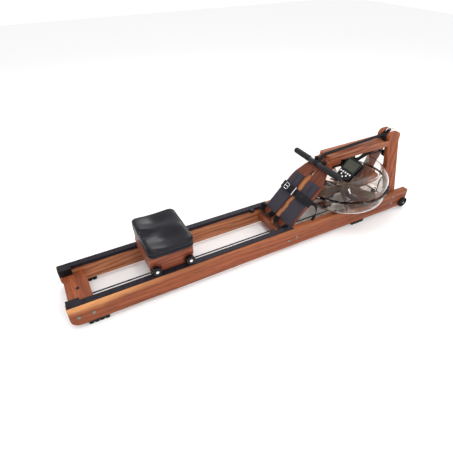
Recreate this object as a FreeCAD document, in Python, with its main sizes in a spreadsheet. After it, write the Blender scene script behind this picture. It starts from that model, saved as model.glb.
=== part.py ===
"""Water-resistance rowing machine: wooden frame, rolling seat, water tank, strap drive and recoil cord.

Millimetres. X runs along the rails, from the rear end (-X) to the tank end (+X). Y runs across, with the
rower's left at +Y. Z is up. The origin is on the floor, below the middle of the frame.
"""
import FreeCAD
import Part
import Sketcher
import math
import os
import re

V = FreeCAD.Vector

SIZES = {
    # frame
    "rail_length": 2070, "rail_height": 112, "rail_thickness": 35, "rail_gap": 240, "rail_lift": 22.5,
    "rail_corner": 40, "rail_edge": 8, "rail_nose": 12,
    "track_width": 31, "track_thickness": 4, "track_skirt": 14, "skirt_thickness": 3, "track_front": 157,
    "track_setback": 3, "stop_length": 60, "stop_depth": 16, "stop_drop": 34, "stop_rise": 4,
    "front_stop_x": 35, "front_stop_length": 20,
    "rear_spreader_x": -1023, "rear_spreader_width": 108, "rear_spreader_z": 55, "spreader_thickness": 42,
    "mid_spreader_x": 98, "mid_spreader_width": 102, "mid_spreader_z": 48,
    "front_spreader_x": 700, "front_spreader_width": 100, "front_spreader_z": 58,
    # footboard
    "board_x": 118, "board_z": 94.5, "board_angle": 47, "board_fit": 0.5, "board_thickness": 19,
    "board_foot": 12, "board_shoulder": 300, "board_length": 415, "board_neck": 66, "board_round": 150,
    "hand_hole_at": 352, "hand_hole_radius": 9, "hand_hole_length": 30,
    # deck, rest and posts
    "deck_x": 430, "deck_z": 420, "deck_thickness": 30, "deck_half_width": 50, "deck_corner": 14,
    "rest_half_width": 48, "rest_front": 510,
    "post_x": 862, "post_width": 86, "post_thickness": 25, "post_top": 494, "post_foot": 34,
    "post_bend": 134, "post_neck": 436, "post_gap": 20, "post_round": 30,
    # tank
    "tank_x": 600, "tank_belly": 259, "tank_flange_lip": 9, "tank_base_inset": 53, "tank_top_inset": 43,
    "tank_base_z": 141.5, "tank_seam_z": 248, "tank_top_z": 342, "tank_wall": 4, "tank_port": 20,
    "flange_thickness": 4, "seal_thickness": 1.5,
    "tank_screw_count": 12, "tank_screw_radius": 3, "tank_pad_inset": 5,
    "tank_pad_length": 34, "tank_pad_width": 26,
    "plug_radius": 18, "plug_at": 120,
    # drive
    "shaft_radius": 8, "hub_radius": 24, "blade_inset": 54, "blade_height": 52, "blade_thickness": 4,
    "blade_z": 158, "blade_count": 6, "shaft_top": 398,
    "drum_radius": 30, "drum_flange": 42, "drum_z": 357, "drum_height": 28, "drum_flange_thickness": 3,
    "strap_width": 24, "strap_thickness": 2, "strap_fall": 12, "strap_lead": 75,
    "pulley_x": 915, "pulley_z": 452, "pulley_radius": 25, "pulley_rim": 28, "pulley_width": 30,
    "pulley_rim_width": 2.5, "pin_radius": 4, "running_fit": 0.05, "bracket_thickness": 4,
    "bracket_reach": 24,
    "cord_radius": 3.5, "cord_y": 6, "cord_z": 40, "cord_anchor_inset": 34, "recoil_radius": 16,
    "recoil_rim": 21, "recoil_lip": 2.5, "recoil_x": 905, "recoil_high_z": 350,
    "recoil_width": 14, "clip_x": 662, "clip_length": 14, "clip_wall": 2.5,
    # seat
    "seat_x": -533.5, "seat_length": 219, "seat_half_width": 116, "seat_panel": 15,
    "seat_bottom": 134, "seat_top": 244, "seat_base_thickness": 16,
    "wheel_radius": 23, "wheel_width": 24, "wheel_base": 170, "arch_gap": 7,
    "axle_radius": 4, "axle_head": 8, "axle_head_height": 4,
    "pad_length": 226, "pad_half_width": 143, "pad_height": 58, "pad_corner": 26, "pad_edge": 10,
    # handle
    "handle_at": 406.5, "handle_lift": 22.5, "handle_half_length": 190, "grip_radius": 17,
    "sleeve_radius": 13.5, "sleeve_half_length": 58, "core_radius": 8, "grip_round": 6,
    "bumper_radius": 12, "bumper_height": 25, "bumper_y": 32,
    # foot rests and toe strap
    "plate_inner": 20, "plate_margin": 0.5, "heel_gap": 2, "plate_high": 235, "plate_thickness": 5,
    "tab_inner": 26, "tab_outer": 104, "tab_high": 314, "cup_height": 46, "cup_wall": 4,
    "cup_rim": 10, "cup_sill": 7, "peg_radius": 2.5, "peg_pitch": 13,
    "toe_strap_at": 190, "toe_strap_width": 44, "toe_strap_thickness": 3, "toe_strap_rise": 24,
    # monitor
    "monitor_x": 507, "monitor_y": -132, "monitor_z": 420, "monitor_angle": 44, "monitor_half_width": 52,
    "monitor_high": 40, "monitor_low": 82, "monitor_front": 5, "monitor_depth": 20, "monitor_corner": 18,
    "monitor_wall": 2.5, "screen_half_width": 41, "screen_half_height": 28.5, "screen_thickness": 2,
    "button_radius": 4.5, "button_height": 5, "button_pitch": 16.6, "button_gap": 0.3, "button_travel": 1.2,
    "hinge_radius": 4, "hinge_out": 26, "hinge_down": 18, "knuckle": 7, "knuckle_half": 15,
    "arm_half": 56, "arm_bar": 12, "arm_thickness": 6,
    # running gear and trim
    "foot_x_rear": -918, "foot_x_front": 645, "foot_pitch": 24, "foot_bumps": 4, "foot_plate": 4,
    "foot_sole": 10,
    "roller_x": 1003, "roller_z": 50, "roller_radius": 31, "roller_width": 15, "roller_gap": 1,
    "bolt_head": 8, "bolt_proud": 2, "clearance": 0.3,
}

doc = FreeCAD.newDocument("rowing_machine")
sheet = doc.addObject("Spreadsheet::Sheet", "sizes")
for row, (alias, number) in enumerate(SIZES.items(), start=1):
    sheet.set(f"A{row}", alias)
    sheet.set(f"B{row}", str(number))
    sheet.setAlias(f"B{row}", alias)
doc.recompute()

PARTS = []


# ---------------------------------------------------------------- sizes and expressions
def formula(text):
    """The text with every size in it pointed at its cell in the sheet."""
    def cell(match):
        return f"sizes.{match.group()}" if match.group() in SIZES else match.group()

    return re.sub(r"[a-z][a-z_]*", cell, str(text))


def value(text):
    """What a formula comes to now."""
    result = sheet.evalExpression(formula(text))
    return float(getattr(result, "Value", result))


def bind(item, name, text):
    item.setExpression(name, formula(text))


def keep(item, label):
    """Counts an object as a sub-part of the machine."""
    item.Label = label
    PARTS.append(item)
    return item


# ---------------------------------------------------------------- slanted frames
def on_board(along, out):
    """X and Z formulas of a point on the footboard: along its slope, and out of its face."""
    east = f"board_x + ({along}) * cos(board_angle) - ({out}) * sin(board_angle)"
    up = f"board_z + ({along}) * sin(board_angle) + ({out}) * cos(board_angle)"
    return east, up


def slanted(item, east, north, up, angle):
    """Stands an object on a slope: its own X runs up the slope and its own Z out of it."""
    bind(item, "Placement.Base.x", east)
    bind(item, "Placement.Base.y", north)
    bind(item, "Placement.Base.z", up)
    item.Placement.Rotation = FreeCAD.Rotation(V(0, 1, 0), -value(angle))
    return item


def lean_on_board(item):
    return slanted(item, "board_x", "0", "board_z", "board_angle")


def lean_on_monitor(item):
    return slanted(item, "monitor_x", "monitor_y", "monitor_z", "monitor_angle")


# ---------------------------------------------------------------- bodies from sketches
def new_body(label, listed=True):
    """A body, listed as a sub-part of its own or left for a group to take up."""
    body = doc.addObject("PartDesign::Body", label)
    body.Label = label
    return keep(body, label) if listed else body


def new_sketch(body, name, plane, offset):
    """A sketch on one of the body's own planes, moved along the plane's normal."""
    sketch = body.newObject("Sketcher::SketchObject", f"{body.Name}_{name}")
    origin_plane = next(f for f in body.Origin.OriginFeatures if f.Role == plane)
    sketch.AttachmentSupport = [(origin_plane, "")]
    sketch.MapMode = "FlatFace"
    bind(sketch, "AttachmentOffset.Base.z", offset)
    return sketch


def place_point(sketch, shape, point, x, y):
    """Ties one point of a sketch to the sketch's origin by two formulas."""
    for kind, text in (("DistanceX", x), ("DistanceY", y)):
        index = sketch.addConstraint(Sketcher.Constraint(kind, -1, 1, shape, point, value(text)))
        bind(sketch, f"Constraints[{index}]", text)


def draw_polygon(sketch, corners):
    numbers = [V(value(x), value(y), 0) for x, y in corners]
    first = sketch.GeometryCount
    count = len(corners)
    for i in range(count):
        sketch.addGeometry(Part.LineSegment(numbers[i], numbers[(i + 1) % count]))
    for i in range(count):
        following = first + (i + 1) % count
        sketch.addConstraint(Sketcher.Constraint("Coincident", first + i, 2, following, 1))
    for i, (x, y) in enumerate(corners):
        place_point(sketch, first + i, 1, x, y)


def draw_circle(sketch, x, y, radius):
    shape = sketch.addGeometry(Part.Circle(V(value(x), value(y), 0), V(0, 0, 1), value(radius)))
    place_point(sketch, shape, 3, x, y)
    index = sketch.addConstraint(Sketcher.Constraint("Radius", shape, value(radius)))
    bind(sketch, f"Constraints[{index}]", radius)


def draw_slot(sketch, x_low, x_high, y, radius):
    """A round-ended slot along the sketch's own X."""
    low, high, r = V(value(x_low), value(y), 0), V(value(x_high), value(y), 0), value(radius)
    left = sketch.addGeometry(Part.ArcOfCircle(Part.Circle(low, V(0, 0, 1), r), math.pi / 2, 3 * math.pi / 2))
    right = sketch.addGeometry(Part.ArcOfCircle(Part.Circle(high, V(0, 0, 1), r), -math.pi / 2, math.pi / 2))
    top = sketch.addGeometry(Part.LineSegment(low + V(0, r, 0), high + V(0, r, 0)))
    bottom = sketch.addGeometry(Part.LineSegment(low - V(0, r, 0), high - V(0, r, 0)))
    for ends in ((left, 1, top, 1), (top, 2, right, 2), (left, 2, bottom, 1), (bottom, 2, right, 1)):
        sketch.addConstraint(Sketcher.Constraint("Tangent", *ends))
    place_point(sketch, left, 3, x_low, y)
    place_point(sketch, right, 3, x_high, y)
    index = sketch.addConstraint(Sketcher.Constraint("Radius", left, r))
    bind(sketch, f"Constraints[{index}]", radius)


def pad_sketch(body, sketch, length):
    pad = body.newObject("PartDesign::Pad", f"{sketch.Name}_pad")
    pad.Profile = sketch
    bind(pad, "Length", length)
    return pad


def sketch_offset(plane, start, length):
    """Where a sketch lies so that its pad runs from start to start + length along the plane's world axis."""
    return f"-(({start}) + ({length}))" if plane == "XZ_Plane" else start


def prism(label, plane, corners, start, length, listed=True):
    """A body padded from one polygon."""
    body = new_body(label, listed)
    sketch = new_sketch(body, "profile", plane, sketch_offset(plane, start, length))
    draw_polygon(sketch, corners)
    pad_sketch(body, sketch, length)
    doc.recompute()
    return body


def add_prism(body, name, plane, corners, start, length):
    sketch = new_sketch(body, name, plane, sketch_offset(plane, start, length))
    draw_polygon(sketch, corners)
    pad_sketch(body, sketch, length)
    doc.recompute()


def cut(body, name, plane, start, length, draw):
    """Removes what draw sketches, from start to start + length, and makes sure that something went."""
    before = body.Shape.Volume
    sketch = new_sketch(body, name, plane, sketch_offset(plane, start, length))
    draw(sketch)
    pocket = body.newObject("PartDesign::Pocket", f"{sketch.Name}_pocket")
    pocket.Profile = sketch
    pocket.Reversed = True
    bind(pocket, "Length", length)
    doc.recompute()
    if body.Shape.Volume >= before:
        raise RuntimeError(f"{body.Label}: {name} cut nothing")


def revolve(label, corners, x="0", y="0", z="0", listed=True):
    """A body turned about its own Z from a polygon of (radius, height) corners."""
    body = new_body(label, listed)
    sketch = new_sketch(body, "profile", "XZ_Plane", "0")
    draw_polygon(sketch, corners)
    turn = body.newObject("PartDesign::Revolution", f"{body.Name}_turn")
    turn.Profile = sketch
    turn.ReferenceAxis = (sketch, ["V_Axis"])
    turn.Angle = 360
    for axis, text in (("x", x), ("y", y), ("z", z)):
        bind(body, f"Placement.Base.{axis}", text)
    doc.recompute()
    return body


def round_edges(body, radius, chosen):
    """Fillets the edges that chosen(edge) picks."""
    tip = body.Tip
    names = [f"Edge{i}" for i, edge in enumerate(tip.Shape.Edges, start=1) if chosen(edge)]
    if not names:
        raise RuntimeError(f"{body.Label}: no edge to round")
    fillet = body.newObject("PartDesign::Fillet", f"{body.Name}_round_{len(body.Group)}")
    fillet.Base = (tip, names)
    bind(fillet, "Radius", radius)
    doc.recompute()


def along(edge, axis):
    """True for a straight edge that runs along a world or body axis."""
    if not isinstance(edge.Curve, Part.Line):
        return False
    return abs(abs(edge.Curve.Direction.dot(axis)) - 1) < 1e-6


def near(a, b):
    return abs(a - b) < 0.01


# ---------------------------------------------------------------- primitives
def box(name, x, y, z, length, width, height):
    item = doc.addObject("Part::Box", name)
    for prop, text in (("Length", length), ("Width", width), ("Height", height)):
        bind(item, prop, text)
    for axis, text in (("x", x), ("y", y), ("z", z)):
        bind(item, f"Placement.Base.{axis}", text)
    return item


def cylinder(name, radius, height, x, y, z, axis=V(0, 0, 1)):
    item = doc.addObject("Part::Cylinder", name)
    bind(item, "Radius", radius)
    bind(item, "Height", height)
    item.Placement.Rotation = FreeCAD.Rotation(V(0, 0, 1), axis)
    for name_of_axis, text in (("x", x), ("y", y), ("z", z)):
        bind(item, f"Placement.Base.{name_of_axis}", text)
    return item


def fuse(name, items):
    result = doc.addObject("Part::MultiFuse", name)
    result.Shapes = items
    return result


def group(label, items):
    """Several separate solids that share one node."""
    result = doc.addObject("Part::Compound", label)
    result.Links = items
    return keep(result, label)


RIGHT, LEFT = -1, 1
SIDE_NAMES = {RIGHT: "right", LEFT: "left"}
SIDES = (RIGHT, LEFT)
ACROSS = V(0, 1, 0)
UP = V(0, 0, 1)
EAST = V(1, 0, 0)
RAIL_TOP = "(rail_lift + rail_height)"
RAIL_OUT = "(rail_gap / 2 + rail_thickness)"
TRACK_TOP = f"({RAIL_TOP} + track_thickness)"
BOARD_HALF = "(rail_gap / 2 - skirt_thickness - board_fit)"
PLATE_OUTER = f"({BOARD_HALF} - plate_margin)"
CUP_RADIUS = f"(({PLATE_OUTER} - plate_inner) / 2)"
PLATE_LOW = f"({CUP_RADIUS} + heel_gap)"
TANK_FLANGE = "(tank_belly + tank_flange_lip)"
TANK_BASE = "(tank_belly - tank_base_inset)"
TANK_TOP = "(tank_belly - tank_top_inset)"
TANK_PAD_X = f"(sqrt({TANK_BASE} ^ 2 - (rail_gap / 2 + tank_pad_width) ^ 2) - tank_pad_inset)"


def side_start(side, inner, outer):
    """The lower Y of a span between two distances from the middle plane."""
    return f"({inner})" if side == LEFT else f"-({outer})"


# ---------------------------------------------------------------- frame
def rails():
    half = "rail_length / 2"
    for side in SIDES:
        corners = [(f"-{half}", "rail_lift"), (half, "rail_lift"), (half, RAIL_TOP), (f"-{half}", RAIL_TOP)]
        start = side_start(side, "rail_gap / 2", RAIL_OUT)
        rail = prism(f"{SIDE_NAMES[side]}_rail", "XZ_Plane", corners, start, "rail_thickness")
        end = value(half)
        low, high = value("rail_lift"), value(RAIL_TOP)
        round_edges(rail, "rail_corner", lambda e: along(e, ACROSS) and near(e.CenterOfMass.x, -end)
                    and near(e.CenterOfMass.z, low))
        round_edges(rail, "rail_nose", lambda e: along(e, ACROSS) and near(e.CenterOfMass.x, end)
                    and near(e.CenterOfMass.z, high))
        outer = side * value(RAIL_OUT)
        round_edges(rail, "rail_edge", lambda e: along(e, EAST) and near(e.CenterOfMass.y, outer)
                    and near(e.CenterOfMass.z, high))


def tracks():
    """Rolling surfaces for the seat, each with a skirt down the inner face of its rail."""
    for side in SIDES:
        inner, outer = f"{side} * rail_gap / 2", f"{side} * (rail_gap / 2 + track_width - skirt_thickness)"
        skirt = f"{side} * (rail_gap / 2 - skirt_thickness)"
        low = f"{RAIL_TOP} - track_skirt"
        corners = [(skirt, low), (inner, low), (inner, RAIL_TOP), (outer, RAIL_TOP), (outer, TRACK_TOP),
                   (skirt, TRACK_TOP)]
        start = "-rail_length / 2 + track_setback"
        prism(f"{SIDE_NAMES[side]}_track", "YZ_Plane", corners, start, f"track_front - ({start})")


def track_stops():
    """Blocks inside the rails that the seat's side panels meet at each end of the travel."""
    blocks = []
    for side in SIDES:
        face = "rail_gap / 2 - skirt_thickness"
        north = side_start(side, f"{face} - stop_depth", face)
        floor = f"{RAIL_TOP} - stop_drop"
        rear_x = "-rail_length / 2 + track_setback"
        height = "stop_drop + stop_rise"
        blocks.append(box(f"stop_rear_{SIDE_NAMES[side]}", rear_x, north, floor, "stop_length", "stop_depth",
                          height))
        blocks.append(box(f"stop_front_{SIDE_NAMES[side]}", "front_stop_x", north,
                          f"{RAIL_TOP} - track_skirt", "front_stop_length", "stop_depth",
                          "track_skirt + stop_rise"))
    group("track_stops", blocks)


def spreader(label, x, width, z):
    corners = [(x, z), (f"{x} + {width}", z), (f"{x} + {width}", f"{z} + spreader_thickness"),
               (x, f"{z} + spreader_thickness")]
    return prism(label, "XZ_Plane", corners, "-rail_gap / 2", "rail_gap")


def spreaders():
    spreader("rear_spreader", "rear_spreader_x", "rear_spreader_width", "rear_spreader_z")
    spreader("mid_spreader", "mid_spreader_x", "mid_spreader_width", "mid_spreader_z")
    spreader("front_spreader", "front_spreader_x", "front_spreader_width", "front_spreader_z")


def footboard():
    half, neck = BOARD_HALF, "board_neck"
    corners = [("-board_foot", f"-{half}"), ("board_shoulder", f"-{half}"), ("board_length", f"-{neck}"),
               ("board_length", neck), ("board_shoulder", half), ("-board_foot", half)]
    board = prism("footboard", "XY_Plane", corners, "-board_thickness", "board_thickness")
    shoulder = value("board_shoulder")
    round_edges(board, "board_round", lambda e: along(e, UP) and near(e.CenterOfMass.x, shoulder))
    reach = "(hand_hole_length / 2 - hand_hole_radius)"
    cut(board, "hand_hole", "XY_Plane", "-board_thickness", "board_thickness",
        lambda s: draw_slot(s, f"hand_hole_at - {reach}", f"hand_hole_at + {reach}", "0", "hand_hole_radius"))
    floor = "mid_spreader_z + spreader_thickness - board_z"
    foot = [(f"({floor} - ({out}) * cos(board_angle)) / sin(board_angle)", out)
            for out in ("1", "-board_thickness - 1")]
    foot += [("-board_thickness * 2", "-board_thickness - 1"), ("-board_thickness * 2", "1")]
    cut(board, "foot_bevel", "XZ_Plane", f"-{half} - 1", f"2 * {half} + 2",
        lambda s: draw_polygon(s, foot))
    lean_on_board(board)


def handle_rest():
    """The block that joins the head of the footboard to the deck."""
    back = "-board_thickness"
    crest = on_board("(deck_x - board_x) / cos(board_angle)", "0")[1]
    corners = [on_board("board_length", "0"), ("deck_x", crest), ("deck_x", "deck_z"),
               ("rest_front", "deck_z"), ("rest_front", "deck_z - 18"),
               ("deck_x + 10", "deck_z - 68"), on_board("board_length - 45", back),
               on_board("board_length", back)]
    prism("handle_rest", "XZ_Plane", corners, "-rest_half_width", "2 * rest_half_width")


def handle_bumpers():
    """Two rubber posts that the parked handle is drawn up against."""
    at = "handle_at + sleeve_radius + bumper_radius + clearance"
    east, up = on_board(at, "0")
    posts = []
    for side in SIDES:
        post = cylinder(f"bumper_{SIDE_NAMES[side]}", "bumper_radius", "bumper_height", east,
                        f"{side} * bumper_y", up)
        post.Placement.Rotation = FreeCAD.Rotation(V(0, 1, 0), -value("board_angle"))
        posts.append(post)
    group("handle_bumpers", posts)


def top_deck():
    half = "deck_half_width"
    corners = [("deck_x", f"-{half}"), ("post_x", f"-{half}"), ("post_x", half), ("deck_x", half)]
    deck = prism("top_deck", "XY_Plane", corners, "deck_z", "deck_thickness")
    rear = value("deck_x")
    round_edges(deck, "deck_corner", lambda e: along(e, UP) and near(e.CenterOfMass.x, rear))


def posts():
    """Two boards, upright where they are bolted inside the rails and leaning in to hold the deck."""
    foot_out, foot_in = "rail_gap / 2", "rail_gap / 2 - post_thickness"
    neck_in, neck_out = "post_gap", "post_gap + post_thickness"
    for side in SIDES:
        outline = [(foot_out, "post_foot"), (foot_out, "post_bend"), (neck_out, "post_neck"),
                   (neck_out, "post_top"), (neck_in, "post_top"), (neck_in, "post_neck"),
                   (foot_in, "post_bend - 6"), (foot_in, "post_foot")]
        corners = [(f"{side} * ({y})", z) for y, z in outline]
        post = prism(f"{SIDE_NAMES[side]}_post", "YZ_Plane", corners, "post_x", "post_width")
        top = value("post_top")
        round_edges(post, "post_round", lambda e: along(e, ACROSS) and near(e.CenterOfMass.z, top))


# ---------------------------------------------------------------- tank
SCREW_REACH = "(tank_belly + tank_flange_lip / 2)"


def screw_holes(body, start, length):
    """The ring of screw holes through one flange or the seal."""
    count = int(value("tank_screw_count"))

    def ring(sketch):
        for i in range(count):
            turn = f"({360 * (i + 0.5)} / tank_screw_count)"
            draw_circle(sketch, f"{SCREW_REACH} * cos({turn})", f"{SCREW_REACH} * sin({turn})",
                        "tank_screw_radius + clearance / 2")

    cut(body, "screw_holes", "XY_Plane", start, length, ring)


def tank_lower():
    seam = "tank_seam_z - tank_base_z - seal_thickness / 2"
    wall = "tank_wall"
    corners = [("0", "0"), (TANK_BASE, "0"), ("tank_belly - 13", "22"), ("tank_belly - 1", "50"),
               ("tank_belly", f"{seam} - flange_thickness"), (TANK_FLANGE, f"{seam} - flange_thickness"),
               (TANK_FLANGE, seam), (f"tank_belly - {wall}", seam), (f"tank_belly - 1 - {wall}", "50"),
               (f"tank_belly - 13 - {wall}", "24"), (f"{TANK_BASE} - {wall}", wall), ("0", wall)]
    body = revolve("tank_lower", corners, "tank_x", "0", "tank_base_z")
    screw_holes(body, f"{seam} - flange_thickness - 1", "flange_thickness + 2")


def tank_upper():
    rise = "tank_top_z - tank_seam_z - seal_thickness / 2"
    wall = "tank_wall"
    corners = [("tank_belly - tank_wall", "0"), (TANK_FLANGE, "0"), (TANK_FLANGE, "flange_thickness"),
               ("tank_belly", "flange_thickness"), ("tank_belly - 2", f"({rise}) * 0.35"),
               ("tank_belly - 9", f"({rise}) * 0.57"), ("tank_belly - 24", f"({rise}) * 0.8"),
               (TANK_TOP, rise), ("tank_port", rise), ("tank_port", f"{rise} - {wall}"),
               (f"{TANK_TOP} - {wall} / 2", f"{rise} - {wall}"),
               (f"tank_belly - 24 - {wall}", f"({rise}) * 0.78"),
               (f"tank_belly - 9 - {wall}", f"({rise}) * 0.55"),
               (f"tank_belly - 2 - {wall}", f"({rise}) * 0.34")]
    body = revolve("tank_upper", corners, "tank_x", "0", "tank_seam_z + seal_thickness / 2")
    cut(body, "fill_port", "XY_Plane", f"{rise} - {wall} - 1", f"{wall} + 2",
        lambda s: draw_circle(s, "-plug_at", "0", "plug_radius"))
    screw_holes(body, "-1", "flange_thickness + 2")


def tank_seal():
    corners = [("tank_belly - tank_wall", "0"), (TANK_FLANGE, "0"), (TANK_FLANGE, "seal_thickness"),
               ("tank_belly - tank_wall", "seal_thickness")]
    body = revolve("tank_seal", corners, "tank_x", "0", "tank_seam_z - seal_thickness / 2")
    screw_holes(body, "-1", "seal_thickness + 2")


def tank_screws():
    """Screws through the flange, outside the wall."""
    reach = value(SCREW_REACH)
    height = "2 * flange_thickness + seal_thickness + 4"
    screws = []
    for i in range(int(value("tank_screw_count"))):
        turn = 2 * math.pi * (i + 0.5) / value("tank_screw_count")
        screw = doc.addObject("Part::Feature", f"tank_screw_{i}")
        screw.Shape = Part.makeCylinder(value("tank_screw_radius"), value(height), V(0, 0, 0), UP)
        screw.Placement.Base = V(value("tank_x") + reach * math.cos(turn), reach * math.sin(turn),
                                 value(f"tank_seam_z - ({height}) / 2"))
        screws.append(screw)
    return screws


def tank_pads():
    """Rubber pads that carry the tank on the tops of the rails."""
    pads = []
    for side in SIDES:
        for i, east in enumerate((f"tank_x - {TANK_PAD_X}", f"tank_x + {TANK_PAD_X}")):
            north = side_start(side, "rail_gap / 2", "rail_gap / 2 + tank_pad_width")
            pads.append(box(f"pad_{SIDE_NAMES[side]}_{i}", f"{east} - tank_pad_length / 2", north, RAIL_TOP,
                            "tank_pad_length", "tank_pad_width", f"tank_base_z - {RAIL_TOP}"))
    group("tank_pads", pads)


def fill_plug():
    rise = "tank_top_z"
    corners = [("0", "-tank_wall"), ("plug_radius", "-tank_wall"), ("plug_radius", "0"),
               ("plug_radius + 4", "0"), ("plug_radius + 4", "5"), ("plug_radius - 2", "8"), ("0", "8")]
    revolve("fill_plug", corners, "tank_x - plug_at", "0", rise)


def shaft_bearings():
    """A flanged bearing in the lid's port and a thrust cup on the tank floor."""
    bore = "shaft_radius + running_fit"
    top = [(bore, "-tank_wall - 3"), ("tank_port", "-tank_wall - 3"), ("tank_port", "0"),
           ("tank_port + 12", "0"), ("tank_port + 12", "4"), ("tank_port - 4", "9"), (bore, "9")]
    low = [(bore, "0"), ("shaft_radius + 10", "0"), ("shaft_radius + 8", "9"), (bore, "9")]
    rings = []
    for name, corners, up in (("lid", top, "tank_top_z"), ("floor", low, "tank_base_z + tank_wall")):
        wire = Part.makePolygon([V(value(r), 0, value(z)) for r, z in corners + corners[:1]])
        ring = doc.addObject("Part::Feature", f"bearing_{name}")
        ring.Shape = Part.Face(wire).revolve(V(0, 0, 0), UP, 360)
        ring.Placement.Base = V(value("tank_x"), 0, value(up))
        rings.append(ring)
    group("shaft_bearings", rings)


# ---------------------------------------------------------------- drive
def paddle():
    """Upright shaft with a hub and flat blades, all one moulding on the shaft."""
    start = "tank_base_z + tank_wall + clearance"
    shaft = cylinder("paddle_shaft", "shaft_radius", f"shaft_top - ({start})", "tank_x", "0", start)
    hub = cylinder("paddle_hub", "hub_radius", "blade_height", "tank_x", "0", "blade_z")
    blades = []
    for i in range(int(value("blade_count"))):
        turn = 360 * i / value("blade_count")
        blade = doc.addObject("Part::Box", f"blade_{i}")
        for prop, text in (("Length", "tank_belly - blade_inset"), ("Width", "blade_thickness"),
                           ("Height", "blade_height")):
            bind(blade, prop, text)
        spin = FreeCAD.Rotation(UP, turn)
        edge = spin.multVec(V(0, -value("blade_thickness") / 2, 0))
        blade.Placement = FreeCAD.Placement(V(value("tank_x"), 0, value("blade_z")) + edge, spin)
        blades.append(blade)
    keep(fuse("paddle", [shaft, hub] + blades), "paddle")


def drive_drum():
    """Spool over the tank that the drive strap winds on."""
    bore = "shaft_radius + running_fit"
    edge = "drum_flange_thickness"
    top = "drum_height + 2 * drum_flange_thickness"
    corners = [(bore, "0"), ("drum_flange", "0"), ("drum_flange", edge), ("drum_radius", edge),
               ("drum_radius", f"{edge} + drum_height"), ("drum_flange", f"{edge} + drum_height"),
               ("drum_flange", top), (bore, top)]
    revolve("drive_drum", corners, "tank_x", "0", "drum_z")


def flanged_pulley(label, groove, rim, width, lip, x, y, z):
    """A pulley that turns about Y."""
    bore = "pin_radius + running_fit"
    half = f"({width}) / 2"
    corners = [(bore, f"-{half}"), (rim, f"-{half}"), (rim, f"-{half} + {lip}"), (groove, f"-{half} + {lip}"),
               (groove, f"{half} - {lip}"), (rim, f"{half} - {lip}"), (rim, half), (bore, half)]
    body = revolve(label, corners, x, y, z)
    body.Placement.Rotation = FreeCAD.Rotation(UP, ACROSS)
    return body


def pulleys():
    flanged_pulley("top_pulley", "pulley_radius", "pulley_rim", "pulley_width", "pulley_rim_width",
                   "pulley_x", "0", "pulley_z")
    for level, up in (("low", RECOIL_LOW_Z), ("high", "recoil_high_z")):
        flanged_pulley(f"recoil_pulley_{level}", "recoil_radius", "recoil_rim", "recoil_width", "recoil_lip",
                       "recoil_x", "-cord_y", up)


def pulley_bracket():
    """Two cheeks between the posts, footed on the end of the deck, with the pulley's pin across them."""
    inner = "(pulley_width / 2 + clearance * 2)"
    half_pin = f"({inner} + bracket_thickness)"
    pin = cylinder("bracket_pin", "pin_radius", f"2 * {half_pin}", "pulley_x", f"-{half_pin}", "pulley_z",
                   ACROSS)
    heel, top = "post_x - bracket_reach", "deck_z + deck_thickness"
    cheeks = []
    for side in SIDES:
        corners = [(heel, top), ("pulley_x - 30", top), ("pulley_x - 25", "pulley_z - 30"),
                   ("pulley_x + 22", "pulley_z - 30"), ("pulley_x + 24", "pulley_z + 10"),
                   ("pulley_x + 8", "pulley_z + 34"), ("pulley_x - 12", "pulley_z + 34"),
                   (heel, "pulley_z + 18")]
        flat = [V(value(x), 0, value(z)) for x, z in corners]
        face = Part.Face(Part.makePolygon(flat + flat[:1]))
        cheek = doc.addObject("Part::Feature", f"cheek_{SIDE_NAMES[side]}")
        cheek.Shape = face.extrude(V(0, value("bracket_thickness"), 0))
        cheek.Placement.Base = V(0, value(side_start(side, inner, f"{inner} + bracket_thickness")), 0)
        cheeks.append(cheek)
    reach = "deck_half_width - 12"
    feet = [box(f"bracket_foot_{SIDE_NAMES[side]}", heel, side_start(side, inner, reach), top,
                "bracket_reach - 1", f"{reach} - {inner}", "3") for side in SIDES]
    keep(fuse("pulley_bracket", [pin] + cheeks + feet), "pulley_bracket")


def arc_route(points, radii):
    """A wire of straight runs joined by tangent arcs at the inner points."""
    edges = []
    start = points[0]
    for i in range(1, len(points) - 1):
        corner, radius = points[i], radii[i - 1]
        back = (points[i - 1] - corner).normalize()
        ahead = (points[i + 1] - corner).normalize()
        half = back.getAngle(ahead) / 2
        reach = radius / math.tan(half)
        first, last = corner + back * reach, corner + ahead * reach
        middle = corner + (back + ahead).normalize() * (radius / math.sin(half) - radius)
        edges.append(Part.LineSegment(start, first).toShape())
        edges.append(Part.Arc(first, middle, last).toShape())
        start = last
    edges.append(Part.LineSegment(start, points[-1]).toShape())
    return Part.Wire(edges)


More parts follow.
